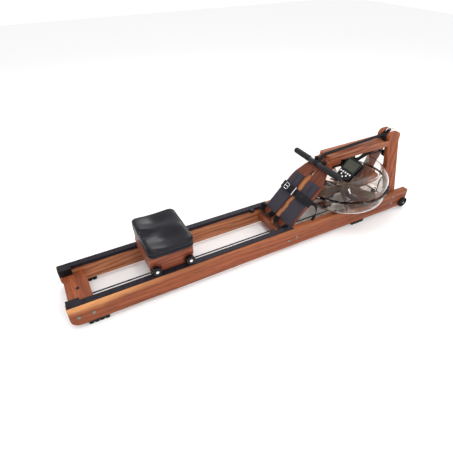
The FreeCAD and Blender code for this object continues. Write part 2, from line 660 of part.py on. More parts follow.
def strap_run():
    """The flat part of the drive strap, from the handle over the deck's rear edge and round the pulley."""
    thick = value("strap_thickness")
    width = value("strap_width")
    east, up = on_board("handle_at + sleeve_radius + clearance", "handle_lift - 4")
    start = V(value(east), 0, value(up))
    edge = V(value("deck_x") - 1, 0, value("deck_z + deck_thickness + 1.5"))
    wrap = value("pulley_radius + clearance")
    centre = V(value("pulley_x"), 0, value("pulley_z"))
    run = centre - edge
    rise = math.atan2(run.z, run.x) + math.asin(wrap / run.Length)
    fall = math.radians(value("strap_fall"))
    lead = V(-math.cos(fall), 0, -math.sin(fall)) * value("strap_lead")
    on, far, off = V(-math.sin(rise), 0, math.cos(rise)), V(1, 0, 0), V(math.sin(fall), 0, -math.cos(fall))
    slope = math.radians(value("board_angle"))
    outward = V(-math.sin(slope), 0, math.cos(slope))
    sides = []
    for lift in (0, thick):
        radius = wrap + lift
        hook = [start + outward * lift, edge + outward * lift, centre + on * radius, centre + off * radius,
                centre + off * radius + lead]
        sides.append((hook, centre + far * radius))
    edges = []
    for hook, middle in sides:
        edges += [Part.LineSegment(hook[0], hook[1]).toShape(), Part.LineSegment(hook[1], hook[2]).toShape(),
                  Part.Arc(hook[2], middle, hook[3]).toShape(), Part.LineSegment(hook[3], hook[4]).toShape()]
    edges += [Part.LineSegment(sides[0][0][i], sides[1][0][i]).toShape() for i in (0, -1)]
    face = Part.Face(Part.Wire(Part.__sortEdges__(edges)))
    solid = face.extrude(V(0, width, 0))
    solid.translate(V(0, -width / 2, 0))
    return solid, centre + off * (wrap + thick / 2) + lead


def drive_strap():
    """Webbing from the handle over the deck and the top pulley, back under the deck and on to the drum."""
    half = value("strap_thickness") / 2
    width = value("strap_width")
    run, leave = strap_run()
    spool_y = -(value("drum_radius") + half + value("clearance"))
    level = value("drum_z + drum_flange_thickness + drum_height / 2")
    ahead = V(value("tank_x + drum_flange + 6"), spool_y, level)
    sections = []
    steps = 6
    for i in range(steps + 1):
        share = i / steps
        at = leave + (ahead - leave) * share
        turn = FreeCAD.Rotation(EAST, 90 * share)
        flat = [V(0, -width / 2, -half), V(0, width / 2, -half), V(0, width / 2, half),
                V(0, -width / 2, half)]
        ring = [at + turn.multVec(p) for p in flat]
        sections.append(Part.makePolygon(ring + ring[:1]))
    twist = Part.makeLoft(sections, True, True)
    low = V(value("tank_x"), 0, level - width / 2)
    inner = value("drum_radius + clearance")
    coil = Part.makeCylinder(inner + 3 * value("strap_thickness"), width, low)
    coil = coil.cut(Part.makeCylinder(inner, width, low))
    feed = Part.makeBox(ahead.x - low.x, 2 * half, width, V(low.x, spool_y - half, low.z))
    strap = doc.addObject("Part::Feature", "drive_strap")
    strap.Shape = run.fuse([twist, feed, coil])
    keep(strap, "drive_strap")


RECOIL_LOW_Z = "(cord_z + cord_radius + recoil_radius)"


def cord_route():
    """Corner points of the recoil cord, from the rear anchor to the clip under the deck, and its bends."""
    turn = value("recoil_radius + cord_radius + clearance")
    column = value("recoil_x") + turn
    side = -value("cord_y")
    anchor = V(value("rear_spreader_x + rear_spreader_width - cord_anchor_inset"), side, value("cord_z"))
    low = V(column, side, value(RECOIL_LOW_Z) - turn)
    high = V(column, side, value("recoil_high_z") + turn)
    clip = V(value("clip_x"), side, value("recoil_high_z") + turn)
    return [anchor, low, high, clip], [turn, turn]


def bungee_cord():
    points, radii = cord_route()
    path = arc_route(points, radii)
    first = path.Edges[0]
    direction = first.tangentAt(first.FirstParameter)
    profile = Part.Wire(Part.makeCircle(value("cord_radius"), points[0], direction))
    cord = doc.addObject("Part::Feature", "bungee_cord")
    cord.Shape = path.makePipeShell([profile], True, True)
    keep(cord, "bungee_cord")
    expected = math.pi * value("cord_radius") ** 2 * path.Length
    print("bungee cord length", round(path.Length), "volume ratio", round(cord.Shape.Volume / expected, 4))


def cord_anchors():
    """Socket and hanger under the rear spreader, clip and hanger under the deck, and the spreader's cap."""
    points, _ = cord_route()
    clip_radius = value("cord_radius + clip_wall")
    items = []
    for name, at, aim, roof in (
            ("rear", points[0], points[0] - points[1], "rear_spreader_z"),
            ("drive", points[-1], points[-1] - points[-2], "deck_z")):
        aim.normalize()
        socket = doc.addObject("Part::Feature", f"anchor_{name}")
        socket.Shape = Part.makeCylinder(clip_radius, value("clip_length"), V(0, 0, 0), aim)
        socket.Placement.Base = at
        middle = at + aim * (value("clip_length") / 2)
        hanger = doc.addObject("Part::Feature", f"hanger_{name}")
        hanger.Shape = Part.makeBox(clip_radius, clip_radius, value(roof) - middle.z)
        hanger.Placement.Base = middle - V(clip_radius / 2, clip_radius / 2, 0)
        items.append(fuse(f"clip_{name}", [socket, hanger]))
    middle = "rear_spreader_x + rear_spreader_width / 2"
    items.append(cylinder("anchor_cap", "bolt_head", "bolt_proud", middle, "0",
                          "rear_spreader_z + spreader_thickness"))
    group("cord_anchors", items)


# ---------------------------------------------------------------- seat
WHEEL_Z = f"({TRACK_TOP} + wheel_radius + clearance)"
WHEEL_IN = "(rail_gap / 2 + clearance * 2)"


def seat_panels():
    """Side panels with a round arch over each wheel, and two end panels between them."""
    half = "seat_length / 2"
    inner = "(seat_half_width - seat_panel)"
    panels = []
    for side in SIDES:
        corners = [(f"seat_x - {half}", "seat_bottom"), (f"seat_x + {half}", "seat_bottom"),
                   (f"seat_x + {half}", "seat_top"), (f"seat_x - {half}", "seat_top")]
        start = side_start(side, inner, "seat_half_width")
        panel = prism(f"panel_{SIDE_NAMES[side]}", "XZ_Plane", corners, start, "seat_panel", listed=False)

        def arches(sketch):
            for sign in ("-", "+"):
                draw_circle(sketch, f"seat_x {sign} wheel_base / 2", WHEEL_Z, "wheel_radius + arch_gap")

        skin = side_start(side, "seat_half_width - seat_panel / 2", "seat_half_width")
        cut(panel, "arches", "XZ_Plane", skin, "seat_panel / 2", arches)
        panels.append(panel)
    for place, east in (("rear", f"seat_x - {half}"), ("front", f"seat_x + {half} - seat_panel")):
        panels.append(box(f"panel_{place}", east, f"-{inner}", "seat_bottom + 16", "seat_panel",
                          f"2 * {inner}", "seat_top - seat_base_thickness - seat_bottom - 16"))
    group("seat_panels", panels)


def seat_base():
    half = "seat_length / 2"
    corners = [(f"seat_x - {half}", "-(seat_half_width - seat_panel)"),
               (f"seat_x + {half}", "-(seat_half_width - seat_panel)"),
               (f"seat_x + {half}", "seat_half_width - seat_panel"),
               (f"seat_x - {half}", "seat_half_width - seat_panel")]
    prism("seat_base", "XY_Plane", corners, "seat_top - seat_base_thickness", "seat_base_thickness")


def seat_pad():
    half = "pad_length / 2"
    corners = [(f"seat_x - {half}", "-pad_half_width"), (f"seat_x + {half}", "-pad_half_width"),
               (f"seat_x + {half}", "pad_half_width"), (f"seat_x - {half}", "pad_half_width")]
    pad = prism("seat_pad", "XY_Plane", corners, "seat_top", "pad_height")
    round_edges(pad, "pad_corner", lambda e: along(e, UP))
    top = value("seat_top + pad_height")
    round_edges(pad, "pad_edge", lambda e: near(e.CenterOfMass.z, top))


def wheel_places():
    """(name, side, x formula) of each seat wheel."""
    for side in SIDES:
        for end, sign in (("rear", "-"), ("front", "+")):
            yield f"{end}_{SIDE_NAMES[side]}", side, f"seat_x {sign} wheel_base / 2"


def seat_wheels():
    bore = "axle_radius + running_fit"
    for name, side, east in wheel_places():
        corners = [(bore, "0"), ("wheel_radius - 2", "0"), ("wheel_radius", "3"),
                   ("wheel_radius", "wheel_width - 3"), ("wheel_radius - 2", "wheel_width"),
                   ("axle_head + 4", "wheel_width"), ("axle_head + 2", "wheel_width - axle_head_height"),
                   (bore, "wheel_width - axle_head_height")]
        wheel = revolve(f"seat_wheel_{name}", corners, east, f"{side} * {WHEEL_IN}", WHEEL_Z)
        wheel.Placement.Rotation = FreeCAD.Rotation(UP, V(0, side, 0))


def seat_axles():
    """Shouldered bolts: a shank from the panel through the wheel and a slotted silver head."""
    bolts = []
    for name, side, east in wheel_places():
        inner = "seat_half_width - seat_panel / 2"
        head_at = f"({WHEEL_IN} + wheel_width - axle_head_height + clearance)"
        axis = V(0, side, 0)
        shank = cylinder(f"shank_{name}", "axle_radius", f"{head_at} - ({inner})", east,
                         f"{side} * ({inner})", WHEEL_Z, axis)
        head = cylinder(f"head_{name}", "axle_head", "axle_head_height", east, f"{side} * {head_at}",
                        WHEEL_Z, axis)
        bolts.append(fuse(f"bolt_{name}", [shank, head]))
    group("seat_axle_bolts", bolts)


# ---------------------------------------------------------------- handle
def handle():
    east, up = on_board("handle_at", "handle_lift")
    core = cylinder("handle_core", "core_radius", "2 * handle_half_length - 4", east,
                    "-handle_half_length + 2", up, ACROSS)
    keep(core, "handle_bar")
    bore = "core_radius"
    tube = [(bore, "-sleeve_half_length"), ("sleeve_radius", "-sleeve_half_length"),
            ("sleeve_radius", "sleeve_half_length"), (bore, "sleeve_half_length")]
    sleeve = revolve("handle_sleeve", tube, east, "0", up)
    sleeve.Placement.Rotation = FreeCAD.Rotation(UP, ACROSS)
    grips = []
    for side in SIDES:
        cap = "handle_half_length - 2"
        corners = [(bore, "sleeve_half_length"), ("grip_radius - grip_round / 2", "sleeve_half_length"),
                   ("grip_radius", "sleeve_half_length + grip_round"),
                   ("grip_radius", "handle_half_length - grip_round"),
                   ("grip_radius - grip_round / 2", "handle_half_length"), ("0", "handle_half_length"),
                   ("0", cap), (bore, cap)]
        grip = revolve(f"grip_{SIDE_NAMES[side]}", corners, east, "0", up, listed=False)
        grip.Placement.Rotation = FreeCAD.Rotation(UP, V(0, side, 0))
        grips.append(grip)
    group("handle_grips", grips)


# ---------------------------------------------------------------- foot rests
def footrests():
    """A sliding plate with an adjustment tab and an open heel cup, one for each foot."""
    for side in SIDES:
        label = f"{SIDE_NAMES[side]}_footrest"
        lower = [(PLATE_LOW, f"{side} * plate_inner"), ("plate_high", f"{side} * plate_inner"),
                 ("plate_high", f"{side} * tab_inner"), ("tab_high", f"{side} * tab_inner"),
                 ("tab_high", f"{side} * tab_outer"), ("plate_high", f"{side} * tab_outer"),
                 ("plate_high", f"{side} * {PLATE_OUTER}"), (PLATE_LOW, f"{side} * {PLATE_OUTER}")]
        plate = prism(label, "XY_Plane", lower, "clearance", "plate_thickness")
        middle = f"{side} * (plate_inner + {PLATE_OUTER}) / 2"
        outer = CUP_RADIUS
        wall = new_sketch(plate, "cup", "XY_Plane", "clearance")
        draw_cup(wall, PLATE_LOW, middle, outer, f"{outer} - cup_wall")
        pad_sketch(plate, wall, "cup_height")
        doc.recompute()
        window = [(f"{PLATE_LOW} - {outer} - 2", f"{middle} - {outer} * 0.72"),
                  (f"{PLATE_LOW} - 14", f"{middle} - {outer} * 0.72"),
                  (f"{PLATE_LOW} - 14", f"{middle} + {outer} * 0.72"),
                  (f"{PLATE_LOW} - {outer} - 2", f"{middle} + {outer} * 0.72")]
        cut(plate, "cup_window", "XY_Plane", "clearance + cup_sill", "cup_height - cup_sill - cup_rim",
            lambda s: draw_polygon(s, window))
        for i in range(4):
            cut(plate, f"peg_hole_{i}", "XY_Plane", "clearance", "plate_thickness",
                lambda s: draw_circle(s, f"plate_high + 20 + {i} * peg_pitch",
                                      f"{side} * (tab_inner + tab_outer) / 2", "peg_radius"))
        lean_on_board(plate)


def draw_cup(sketch, x, y, outer, inner):
    """A half ring that opens up the slope."""
    centre = V(value(x), value(y), 0)
    arcs = []
    for radius in (outer, inner):
        circle = Part.Circle(centre, V(0, 0, 1), value(radius))
        shape = sketch.addGeometry(Part.ArcOfCircle(circle, math.pi / 2, 3 * math.pi / 2))
        place_point(sketch, shape, 3, x, y)
        index = sketch.addConstraint(Sketcher.Constraint("Radius", shape, value(radius)))
        bind(sketch, f"Constraints[{index}]", radius)
        arcs.append(shape)
    for end, sign in ((1, 1), (2, -1)):
        tip_out = centre + V(0, sign * value(outer), 0)
        tip_in = centre + V(0, sign * value(inner), 0)
        line = sketch.addGeometry(Part.LineSegment(tip_out, tip_in))
        for arc, line_end in zip(arcs, (1, 2)):
            sketch.addConstraint(Sketcher.Constraint("Vertical", arc, 3, arc, end))
            sketch.addConstraint(Sketcher.Constraint("Coincident", arc, end, line, line_end))


def toe_strap():
    """One webbing band over both feet, arched over each plate and held at the edges of the board."""
    face = "clearance + plate_thickness"
    rise = f"{face} + toe_strap_rise"
    edge = BOARD_HALF
    thick = "toe_strap_thickness"
    top = [(f"-({edge} + {thick})", "-board_thickness"), (f"-({edge} + {thick})", f"{face} + 3"),
           (f"-{edge} + 16", rise), ("-30", rise), ("-12", f"{face} + 8"), ("12", f"{face} + 8"),
           ("30", rise), (f"{edge} - 16", rise), (f"{edge} + {thick}", f"{face} + 3"),
           (f"{edge} + {thick}", "-board_thickness")]
    under = [(f"{edge} + 0.1", "-board_thickness"), (f"{edge} + 0.1", f"{face} + 2"),
             (f"{edge} - 18", f"{rise} - {thick}"), ("31", f"{rise} - {thick}"),
             ("13", f"{face} + 8 - {thick}"), ("-13", f"{face} + 8 - {thick}"), ("-31", f"{rise} - {thick}"),
             (f"-({edge} - 18)", f"{rise} - {thick}"), (f"-({edge} + 0.1)", f"{face} + 2"),
             (f"-({edge} + 0.1)", "-board_thickness")]
    strap = prism("toe_strap", "YZ_Plane", top + under, "toe_strap_at", "toe_strap_width")
    lean_on_board(strap)


def strap_fittings():
    """A wire buckle, a bar slide and two round studs on the toe strap."""
    face = value("clearance + plate_thickness + toe_strap_rise") + 0.2
    lean = FreeCAD.Placement(V(value("board_x"), 0, value("board_z")),
                             FreeCAD.Rotation(V(0, 1, 0), -value("board_angle")))
    at = value("toe_strap_at")
    wide = value("toe_strap_width")
    items = []

    def add(name, shape):
        item = doc.addObject("Part::Feature", name)
        item.Shape = shape
        item.Placement = lean
        items.append(item)

    frame = Part.makeBox(30, 26, 4, V(at + 4, 48, face))
    add("wire_buckle", frame.cut(Part.makeBox(22, 18, 8, V(at + 8, 52, face - 2))))
    add("bar_slide", Part.makeBox(wide + 4, 10, 5, V(at - 2, 30, face)))
    for side in SIDES:
        add(f"stud_{SIDE_NAMES[side]}", Part.makeCylinder(9, 5, V(at + 14, side * 86, face)))
    group("strap_fittings", items)


# ---------------------------------------------------------------- monitor
BUTTONS = [(-46, -2), (-46, -1), (-46, 0), (-46, 1), (-46, 2), (-60, -1), (-60, 1), (-72, 0)]


def button_place(row, column):
    return str(row), f"{column} * button_pitch"


def monitor_outline(inset):
    wide = f"(monitor_half_width - {inset})"
    return [(f"monitor_high - {inset}", f"-{wide}"), (f"monitor_high - {inset}", wide),
            (f"-(monitor_low - {inset})", f"{wide} * 0.78"), (f"-(monitor_low - {inset})", f"-{wide} * 0.78")]


def monitor_front():
    front = prism("monitor_front", "XY_Plane", monitor_outline("0"), "0", "monitor_front")
    round_edges(front, "monitor_corner", lambda e: along(e, UP))
    window = [("-screen_half_height", "-screen_half_width"), ("-screen_half_height", "screen_half_width"),
              ("screen_half_height", "screen_half_width"), ("screen_half_height", "-screen_half_width")]
    cut(front, "window", "XY_Plane", "0", "monitor_front", lambda s: draw_polygon(s, window))

    def holes(sketch):
        for place in BUTTONS:
            row, column = button_place(*place)
            draw_circle(sketch, row, column, "button_radius + button_gap")

    cut(front, "button_holes", "XY_Plane", "0", "monitor_front", holes)
    lean_on_monitor(front)


def monitor_back():
    back = prism("monitor_back", "XY_Plane", monitor_outline("0"), "-monitor_depth", "monitor_depth")
    round_edges(back, "monitor_corner", lambda e: along(e, UP))
    cut(back, "hollow", "XY_Plane", "-monitor_depth + monitor_wall", "monitor_depth - monitor_wall",
        lambda s: draw_polygon(s, monitor_outline("monitor_wall + 4")))
    low, high = "-hinge_down - knuckle", "-hinge_down + knuckle"
    ears = [(low, "-knuckle_half"), (high, "-knuckle_half"), (high, "knuckle_half"), (low, "knuckle_half")]
    reach = "hinge_out + knuckle - monitor_depth"
    add_prism(back, "knuckle", "XY_Plane", ears, "-hinge_out - knuckle", reach)
    cut(back, "hinge_bore", "XZ_Plane", "-knuckle_half - 1", "2 * knuckle_half + 2",
        lambda s: draw_circle(s, "-hinge_down", "-hinge_out", "hinge_radius + running_fit"))
    lean_on_monitor(back)


def monitor_screen():
    half_w, half_h = "(screen_half_width - 0.2)", "(screen_half_height - 0.2)"
    corners = [(f"-{half_h}", f"-{half_w}"), (f"-{half_h}", half_w), (half_h, half_w), (half_h, f"-{half_w}")]
    screen = prism("monitor_screen", "XY_Plane", corners, "monitor_front - 1 - screen_thickness",
                   "screen_thickness")
    lean_on_monitor(screen)


def buttons():
    for number, place in enumerate(BUTTONS, start=1):
        row, column = button_place(*place)
        body = new_body(f"button_{number}")
        low = "monitor_front + button_travel + 0.6 - button_height"
        sketch = new_sketch(body, "profile", "XY_Plane", low)
        draw_circle(sketch, row, column, "button_radius")
        pad_sketch(body, sketch, "button_height")
        doc.recompute()
        lean_on_monitor(body)


def monitor_arm():
    """Bracket from the side of the handle rest to the hinge pin behind the monitor."""
    hinge_x = "(monitor_x + hinge_out * sin(monitor_angle) - hinge_down * cos(monitor_angle))"
    hinge_z = "(monitor_z - hinge_out * cos(monitor_angle) - hinge_down * sin(monitor_angle))"
    low = f"{hinge_z} - arm_bar / 2"
    tip = "knuckle_half + 3"
    pin = cylinder("arm_pin", "hinge_radius", f"arm_half + {tip}", hinge_x, f"monitor_y - ({tip})", hinge_z,
                   ACROSS)
    bar = box("arm_bar_box", f"{hinge_x} - arm_bar / 2", "monitor_y + arm_half", low, "arm_bar",
              "-monitor_y - arm_half - rest_half_width", "arm_bar")
    side = box("arm_side", "deck_x + 22", "-rest_half_width - arm_thickness", low,
               f"{hinge_x} + arm_bar / 2 - deck_x - 22", "arm_thickness", "arm_bar")
    keep(fuse("monitor_arm", [pin, bar, side]), "monitor_arm")


# ---------------------------------------------------------------- feet, rollers and fasteners
def rubber_feet():
    """Ribbed rubber feet under both rails."""
    feet = []
    for side in SIDES:
        for place in ("rear", "front"):
            tag = f"{place}_{SIDE_NAMES[side]}"
            start = side_start(side, "rail_gap / 2 + 1", f"{RAIL_OUT} - 1")
            count = int(value("foot_bumps"))
            width = "rail_thickness - 2"
            base = box(f"foot_plate_{tag}", f"foot_x_{place} - foot_pitch * {count} / 2", start,
                       "rail_lift - foot_plate", f"foot_pitch * {count}", width, "foot_plate")
            bumps = []
            for i in range(count):
                centre = f"foot_x_{place} + foot_pitch * ({i} - {(count - 1) / 2})"
                bumps.append(cylinder(f"foot_bump_{tag}_{i}", "(rail_lift - 0.5) / 2", width, centre, start,
                                      "(rail_lift - 0.5) / 2", ACROSS))
                bumps.append(box(f"foot_sole_{tag}_{i}", f"{centre} - foot_sole / 2", start, "0", "foot_sole",
                                 width, "rail_lift / 2"))
            feet.append(fuse(f"foot_{tag}", [base] + bumps))
    group("rubber_feet", feet)


def transport_rollers():
    bore = "pin_radius + running_fit"
    for side in SIDES:
        corners = [(bore, "0"), ("roller_radius - 2", "0"), ("roller_radius", "2"),
                   ("roller_radius", "roller_width - 2"), ("roller_radius - 2", "roller_width"),
                   ("roller_radius - 6", "roller_width"), ("roller_radius - 8", "roller_width - 4"),
                   ("11", "roller_width - 4"), ("9", "roller_width"), (bore, "roller_width")]
        wheel = revolve(f"{SIDE_NAMES[side]}_roller", corners, "roller_x",
                        f"{side} * ({RAIL_OUT} + roller_gap)", "roller_z")
        wheel.Placement.Rotation = FreeCAD.Rotation(UP, V(0, side, 0))


def frame_bolts():
    """Bolt caps in the rails, the deck screws, and the pins of the rollers and the recoil pulleys."""
    bolts = []
    places = [("rear_spreader_x + 26", "72"), ("rear_spreader_x + 92", "72"), ("mid_spreader_x + 28", "66"),
              ("mid_spreader_x + 80", "74"), ("post_x + 44", "66"), ("post_x + 46", "112")]
    for side in SIDES:
        for i, (east, up) in enumerate(places):
            bolts.append(cylinder(f"bolt_cap_{SIDE_NAMES[side]}_{i}", "bolt_head", "bolt_proud", east,
                                  f"{side} * {RAIL_OUT}", up, V(0, side, 0)))
        reach = "(roller_gap + roller_width + clearance)"
        pin = cylinder(f"roller_pin_{SIDE_NAMES[side]}", "pin_radius", reach, "roller_x",
                       f"{side} * {RAIL_OUT}", "roller_z", V(0, side, 0))
        cap = cylinder(f"roller_cap_{SIDE_NAMES[side]}", "7", "2.5", "roller_x",
                       f"{side} * ({RAIL_OUT} + {reach})", "roller_z", V(0, side, 0))
        bolts.append(fuse(f"roller_bolt_{SIDE_NAMES[side]}", [pin, cap]))
        bolts.append(cylinder(f"deck_screw_{SIDE_NAMES[side]}", "4", "1.5", "deck_x + 34", f"{side} * 32",
                              "deck_z + deck_thickness"))
    low = "(rail_gap / 2 - post_thickness)"
    share = "(post_neck - recoil_high_z - pin_radius) / (post_neck - post_bend + 6)"
    high = f"(post_gap + ({low} - post_gap) * {share})"
    for level, half, up in (("low", low, RECOIL_LOW_Z), ("high", high, "recoil_high_z")):
        bolts.append(cylinder(f"recoil_pin_{level}", "pin_radius", f"2 * {half}", "recoil_x", f"-{half}", up,
                              ACROSS))
    return bolts


def check_and_write():
    doc.recompute()
    for item in doc.Objects:
        if "Invalid" in item.State or "Error" in item.State:
            raise RuntimeError(f"{item.Label} is {item.State}")
    os.makedirs("parts", exist_ok=True)
    for item in PARTS:
        shape = item.Shape
        if shape.isNull() or not shape.isValid() or not shape.Solids:
            raise RuntimeError(f"{item.Label} has no valid shape")
        shape.exportStep(f"parts/{item.Label}.step")
    print(len(PARTS), "parts written")


rails()
tracks()
track_stops()
spreaders()
footboard()
handle_rest()
handle_bumpers()
top_deck()
posts()
tank_lower()
tank_upper()
tank_seal()
tank_pads()
fill_plug()
shaft_bearings()
paddle()
drive_drum()
pulleys()
pulley_bracket()
drive_strap()
bungee_cord()
cord_anchors()
seat_panels()
seat_base()
seat_pad()
seat_wheels()
seat_axles()
handle()
footrests()
toe_strap()
strap_fittings()
monitor_front()
monitor_back()
monitor_screen()
buttons()
monitor_arm()
rubber_feet()
transport_rollers()
group("fasteners", frame_bolts() + tank_screws())
check_and_write()
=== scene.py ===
# %% [markdown]
# # A wooden rowing machine with a water tank
# The machine is already built as a CAD model: every board, wheel and button is a solid with its own name.
# This lesson loads those solids as a fixed frame and gives them their looks. Boards keep their CAD shape
# and get a grain, while soft, turned and woven pieces are made again here with smoother meshes.

# %% Load the frame
import bpy
import bmesh
import math
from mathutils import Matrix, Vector


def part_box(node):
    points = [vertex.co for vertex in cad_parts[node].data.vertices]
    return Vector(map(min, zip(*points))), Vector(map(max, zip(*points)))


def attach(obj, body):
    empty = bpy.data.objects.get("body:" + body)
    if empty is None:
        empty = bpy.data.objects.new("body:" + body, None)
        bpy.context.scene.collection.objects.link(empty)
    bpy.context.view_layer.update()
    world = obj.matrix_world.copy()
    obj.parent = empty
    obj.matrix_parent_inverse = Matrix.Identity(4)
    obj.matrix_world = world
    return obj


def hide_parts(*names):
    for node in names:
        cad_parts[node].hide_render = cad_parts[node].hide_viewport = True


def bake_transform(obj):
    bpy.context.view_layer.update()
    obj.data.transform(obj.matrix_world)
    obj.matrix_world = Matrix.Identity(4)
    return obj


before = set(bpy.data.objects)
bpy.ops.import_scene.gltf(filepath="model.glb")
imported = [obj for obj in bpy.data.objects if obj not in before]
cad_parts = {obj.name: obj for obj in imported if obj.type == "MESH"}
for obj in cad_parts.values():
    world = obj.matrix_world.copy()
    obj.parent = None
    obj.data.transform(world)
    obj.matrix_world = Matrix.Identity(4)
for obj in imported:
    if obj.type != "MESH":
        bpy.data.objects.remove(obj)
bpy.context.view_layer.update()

# %% [markdown]
# ## Camera, light and floor
# The machine is seen from its seat end, from above and outside the right rail. Three soft round lamps and
# a bright world stand in for a white product studio, and a tall narrow lamp draws a streak on the clear
# tank. A sun lamp would be simpler, but it gives hard shadows; large lamps give soft ones and calm
# highlights.

# %% Camera
SIDES = (-1, 1)
SIDE_NAMES = {-1: "right", 1: "left"}
ACROSS = Vector((0, 1, 0))
UP = Vector((0, 0, 1))
camera_data = bpy.data.cameras.new("camera")
camera_data.lens = 29.34
camera_data.sensor_width = 36
camera = bpy.data.objects.new("camera", camera_data)
camera.location = (-0.9010, -1.3691, 1.3893)
camera.rotation_euler = (math.pi / 2 - 0.6664, 0.0024, -0.4859)
bpy.context.scene.collection.objects.link(camera)
bpy.context.scene.camera = camera
print("camera at", tuple(camera.location))


# %% Lamps and world
def area_lamp(name, place, target, size, power):
    lamp = bpy.data.lights.new(name, "AREA")
    lamp.shape = "DISK"
    lamp.size = size
    lamp.energy = power
    item = bpy.data.objects.new(name, lamp)
    item.location = place
    item.rotation_euler = (Vector(target) - Vector(place)).to_track_quat("-Z", "Y").to_euler()
    bpy.context.scene.collection.objects.link(item)
    return item


area_lamp("key_lamp", (-0.9, -0.2, 3.2), (0.1, 0, 0.1), 1.6, 30)
area_lamp("fill_lamp", (1.6, -2.4, 2.4), (0.3, 0, 0.2), 1.2, 12)
area_lamp("rim_lamp", (1.0, 2.4, 2.4), (0.3, 0, 0.2), 1.0, 24)
streak = area_lamp("streak_lamp", (-0.3, -2.2, 1.9), (0.6, 0, 0.28), 0.22, 26)
streak.data.shape = "RECTANGLE"
streak.data.size_y = 1.2
world = bpy.data.worlds.new("studio")
world.use_nodes = True
world.node_tree.nodes["Background"].inputs["Color"].default_value = (1.0, 1.0, 1.0, 1.0)
world.node_tree.nodes["Background"].inputs["Strength"].default_value = 1.0
bpy.context.scene.world = world
bpy.context.scene.view_settings.view_transform = "Standard"

# %% [markdown]
# ## A short way to write shader nodes
# Every material below is a node tree. It could be wired by hand in the editor, but a script shows each
# choice. Small helpers keep the trees readable: they add a node and fill its sockets, do arithmetic,
# stretch space, draw noise and mix colours. A value that is itself a socket becomes a link.


# %% Node helpers
def add(tree, kind, settings=None, sockets=None):
    node = tree.nodes.new("ShaderNode" + kind)
    for name, setting in (settings or {}).items():
        setattr(node, name, setting)
    for name, item in (sockets or {}).items():
        fill(tree, node.inputs[name], item)
    return node


def fill(tree, socket, item):
    if isinstance(item, bpy.types.NodeSocket):
        tree.links.new(item, socket)
    elif item is not None:
        socket.default_value = item


def calc(tree, operation, *values):
    node = add(tree, "Math", {"operation": operation})
    for socket, item in zip(node.inputs, values):
        fill(tree, socket, item)
    return node.outputs[0]


def product(tree, first, second):
    return calc(tree, "MULTIPLY", first, second)


def step_between(tree, item, low, high, to_low=0.0, to_high=1.0):
    """A smooth step of item from low to high."""
    node = add(tree, "MapRange", {"interpolation_type": "SMOOTHSTEP"})
    for name, number in (("Value", item), ("From Min", low), ("From Max", high), ("To Min", to_low),
                         ("To Max", to_high)):
        fill(tree, node.inputs[name], number)
    return node.outputs["Result"]


print("arithmetic helpers ready")


# %% Space, noise and colour
def stretched(tree, place, amounts):
    """Scales space by amounts, so that a pattern runs long on one axis and fine on the others."""
    return add(tree, "VectorMath", {"operation": "MULTIPLY"}, {0: place, 1: amounts}).outputs[0]


def noise(tree, place, scale, detail, roughness=0.5):
    return add(tree, "TexNoise", None, {"Vector": place, "Scale": scale, "Detail": detail,
                                        "Roughness": roughness})


def mix_colour(tree, share, first, second, mode="MIX"):
    node = add(tree, "Mix", {"data_type": "RGBA", "blend_type": mode})
    fill(tree, node.inputs[0], share)
    fill(tree, node.inputs[6], first)
    fill(tree, node.inputs[7], second)
    return node.outputs[2]


print("space, noise and colour helpers ready")


# %% Groups and materials
def group_tree(name, inputs, outputs):
    """A new node group and its two ends. inputs are (name, type, default), outputs (name, type)."""
    tree = bpy.data.node_groups.new(name, "ShaderNodeTree")
    for label, kind, default in inputs:
        socket = tree.interface.new_socket(label, in_out="INPUT", socket_type="NodeSocket" + kind)
        if default is not None:
            socket.default_value = default
    for label, kind in outputs:
        tree.interface.new_socket(label, in_out="OUTPUT", socket_type="NodeSocket" + kind)
    return tree, tree.nodes.new("NodeGroupInput"), tree.nodes.new("NodeGroupOutput")


def place_group(tree, group, sockets):
    node = add(tree, "Group", {"node_tree": group})
    for name, item in sockets.items():
        fill(tree, node.inputs[name], item)
    return node


def new_material(name):
    material = bpy.data.materials.new(name)
    material.use_nodes = True
    tree = material.node_tree
    return material, tree, tree.nodes["Principled BSDF"]


print("group and material helpers ready")

# %% [markdown]
# ## Walnut grain
# A board is a slice through a trunk, so its figure is a set of nested rings cut lengthwise: long streaks
# where the cut runs along the rings, and arches where it leaves them. The group below squeezes space along
# the grain, bends it with slow noise and draws rings in it. Fine noise, squeezed far more, gives the
# pores. A wood picture would stretch or repeat from board to board. This is a group because every board
# uses it, each with its own seed and tint.


# %% Grain group
grain, enter, leave = group_tree(
    "walnut_grain",
    [("Vector", "Vector", None), ("Seed", "Float", 0.0), ("Rings", "Float", 15.0),
     ("Dark", "Color", (0, 0, 0, 1)), ("Light", "Color", (1, 1, 1, 1)), ("Sapwood", "Color", (1, 1, 1, 1)),
     ("Sap", "Float", 0.0)],
    [("Color", "Color"), ("Roughness", "Float"), ("Height", "Float")])
seed_place = add(grain, "CombineXYZ", None, {axis: enter.outputs["Seed"] for axis in "XYZ"}).outputs[0]
shifted = add(grain, "VectorMath", {"operation": "ADD"},
              {0: enter.outputs["Vector"], 1: seed_place}).outputs[0]
slow = noise(grain, stretched(grain, shifted, (1.3, 7.0, 7.0)), 1.0, 3.0)
bent = add(grain, "VectorMath", {"operation": "MULTIPLY_ADD"},
           {0: slow.outputs["Color"], 1: (0.09, 0.09, 0.09), 2: stretched(grain, shifted, (0.16, 1.0, 1.0))})
rings = add(grain, "TexWave", {"wave_type": "RINGS", "rings_direction": "X"},
            {"Vector": bent.outputs[0], "Scale": enter.outputs["Rings"], "Distortion": 1.6, "Detail": 3.0,
             "Detail Scale": 2.2})
pores = noise(grain, stretched(grain, shifted, (14.0, 420.0, 420.0)), 1.0, 4.0, 0.6)
